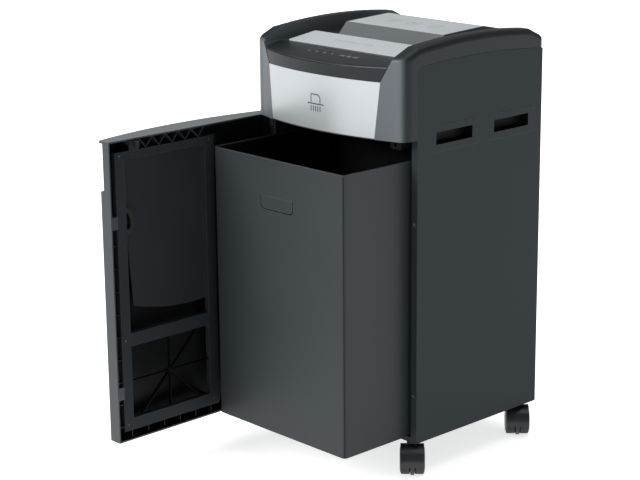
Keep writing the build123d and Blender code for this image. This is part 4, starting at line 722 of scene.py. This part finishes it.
def rim_bead(ring, centre_z, radius):
    """A round bead carried along a closed plan: a circle in the plane across the path."""
    ahead, behind = np.roll(ring, -1, 0), np.roll(ring, 1, 0)
    along = ahead - behind
    along /= np.linalg.norm(along, axis=1, keepdims=True)
    out = np.stack([along[:, 1], -along[:, 0]], -1)
    t = np.linspace(0, 2 * np.pi, 12, endpoint=False)
    plan = ring[:, None, :] + radius * np.cos(t)[None, :, None] * out[:, None, :]
    z = centre_z + radius * np.sin(t)[None, :, None] + np.zeros((len(ring), 1, 1))
    points = np.concatenate([plan, z], -1).reshape(-1, 3)
    return points, grid_faces(len(ring), len(t), wrap_rows=True, wrap_columns=True)


ring = rounded_ring(low, high, BIN_CORNER, BIN_WALL / 2)
mesh_piece("bin_rim_bead", *rim_bead(ring, high[2], BIN_WALL / 2), bin_satin, "bin_plastic", "bin")


# ---- Floor, light and camera -----------------------------------------------------------------
# A white floor under a white sky, a soft key from the front left with a weak side light and a
# wide one from above, and a camera in front and to the right, looking a little down.
floor_mesh = bpy.data.meshes.new("floor")
FLOOR_HALF = 40
floor_mesh.from_pydata([(x * FLOOR_HALF, y * FLOOR_HALF, 0)
                        for x, y in ((-1, -1), (1, -1), (1, 1), (-1, 1))], [], [(0, 1, 2, 3)])
floor_paint = finish("floor paint", (238, 238, 238), (243, 243, 243), rough=(0.75, 0.85),
                     grain=60.0, cloud=0.6, relief=0.02, rub=0.0, specular=0.1)
floor_shader = floor_paint.node_tree.nodes["Principled BSDF"]
floor_shader.inputs["Emission Color"].default_value = (1.0, 1.0, 1.0, 1.0)
FLOOR_GLOW = 0.72
floor_shader.inputs["Emission Strength"].default_value = FLOOR_GLOW
floor_mesh.materials.append(floor_paint)
floor = bpy.data.objects.new("floor", floor_mesh)
bpy.context.scene.collection.objects.link(floor)

world = bpy.data.worlds.new("studio")
world.use_nodes = True
bpy.context.scene.world = world
sky = world.node_tree
background = sky.nodes["Background"]
background.inputs["Color"].default_value = (0.93, 0.98, 1.0, 1.0)
rays = sky.nodes.new("ShaderNodeLightPath")
SKY_LIGHT, SKY_SEEN = 0.26, 1.1
sky.links.new(math_node(sky, "ADD", math_node(sky, "MULTIPLY", rays.outputs["Is Camera Ray"],
                                             SKY_SEEN - SKY_LIGHT), SKY_LIGHT),
              background.inputs["Strength"])


def soft_sun(name, direction, strength, spread):
    """A wide distant light that shines from 'direction' towards the origin."""
    lamp = bpy.data.lights.new(name, "SUN")
    lamp.energy = strength
    lamp.angle = math.radians(spread)
    holder = bpy.data.objects.new(name, lamp)
    bpy.context.scene.collection.objects.link(holder)
    holder.rotation_euler = Vector(direction).to_track_quat("Z", "Y").to_euler()
    return holder


soft_sun("key", (-0.35, -0.85, 0.5), 2.5, 30.0)
soft_sun("side box", (-0.75, -0.25, 0.6), 0.3, 14.0)
soft_sun("top", (-0.1, 0.15, 1.0), 1.2, 60.0)

AZIMUTH, ELEVATION, ROLL = (math.radians(v) for v in (46.82, 15.171, -0.524))
DISTANCE = 4.098
FOCAL_LENGTH, SENSOR_W = 103.107, 36.0
TARGET = Vector((-0.2622, 0.0, 0.3729))
back = Vector((math.sin(AZIMUTH) * math.cos(ELEVATION), -math.cos(AZIMUTH) * math.cos(ELEVATION),
               math.sin(ELEVATION)))
level = Vector((math.cos(AZIMUTH), math.sin(AZIMUTH), 0.0))
upward = back.cross(level)
right = level * math.cos(ROLL) + upward * math.sin(ROLL)
upward = back.cross(right)
lens_data = bpy.data.cameras.new("camera")
lens_data.lens, lens_data.sensor_width = FOCAL_LENGTH, SENSOR_W
camera = bpy.data.objects.new("camera", lens_data)
camera.matrix_world = Matrix.Translation(TARGET + back * DISTANCE) \
    @ Matrix((right, upward, back)).transposed().to_4x4()
bpy.context.scene.collection.objects.link(camera)
bpy.context.scene.camera = camera
bpy.context.scene.view_settings.view_transform = "Standard"
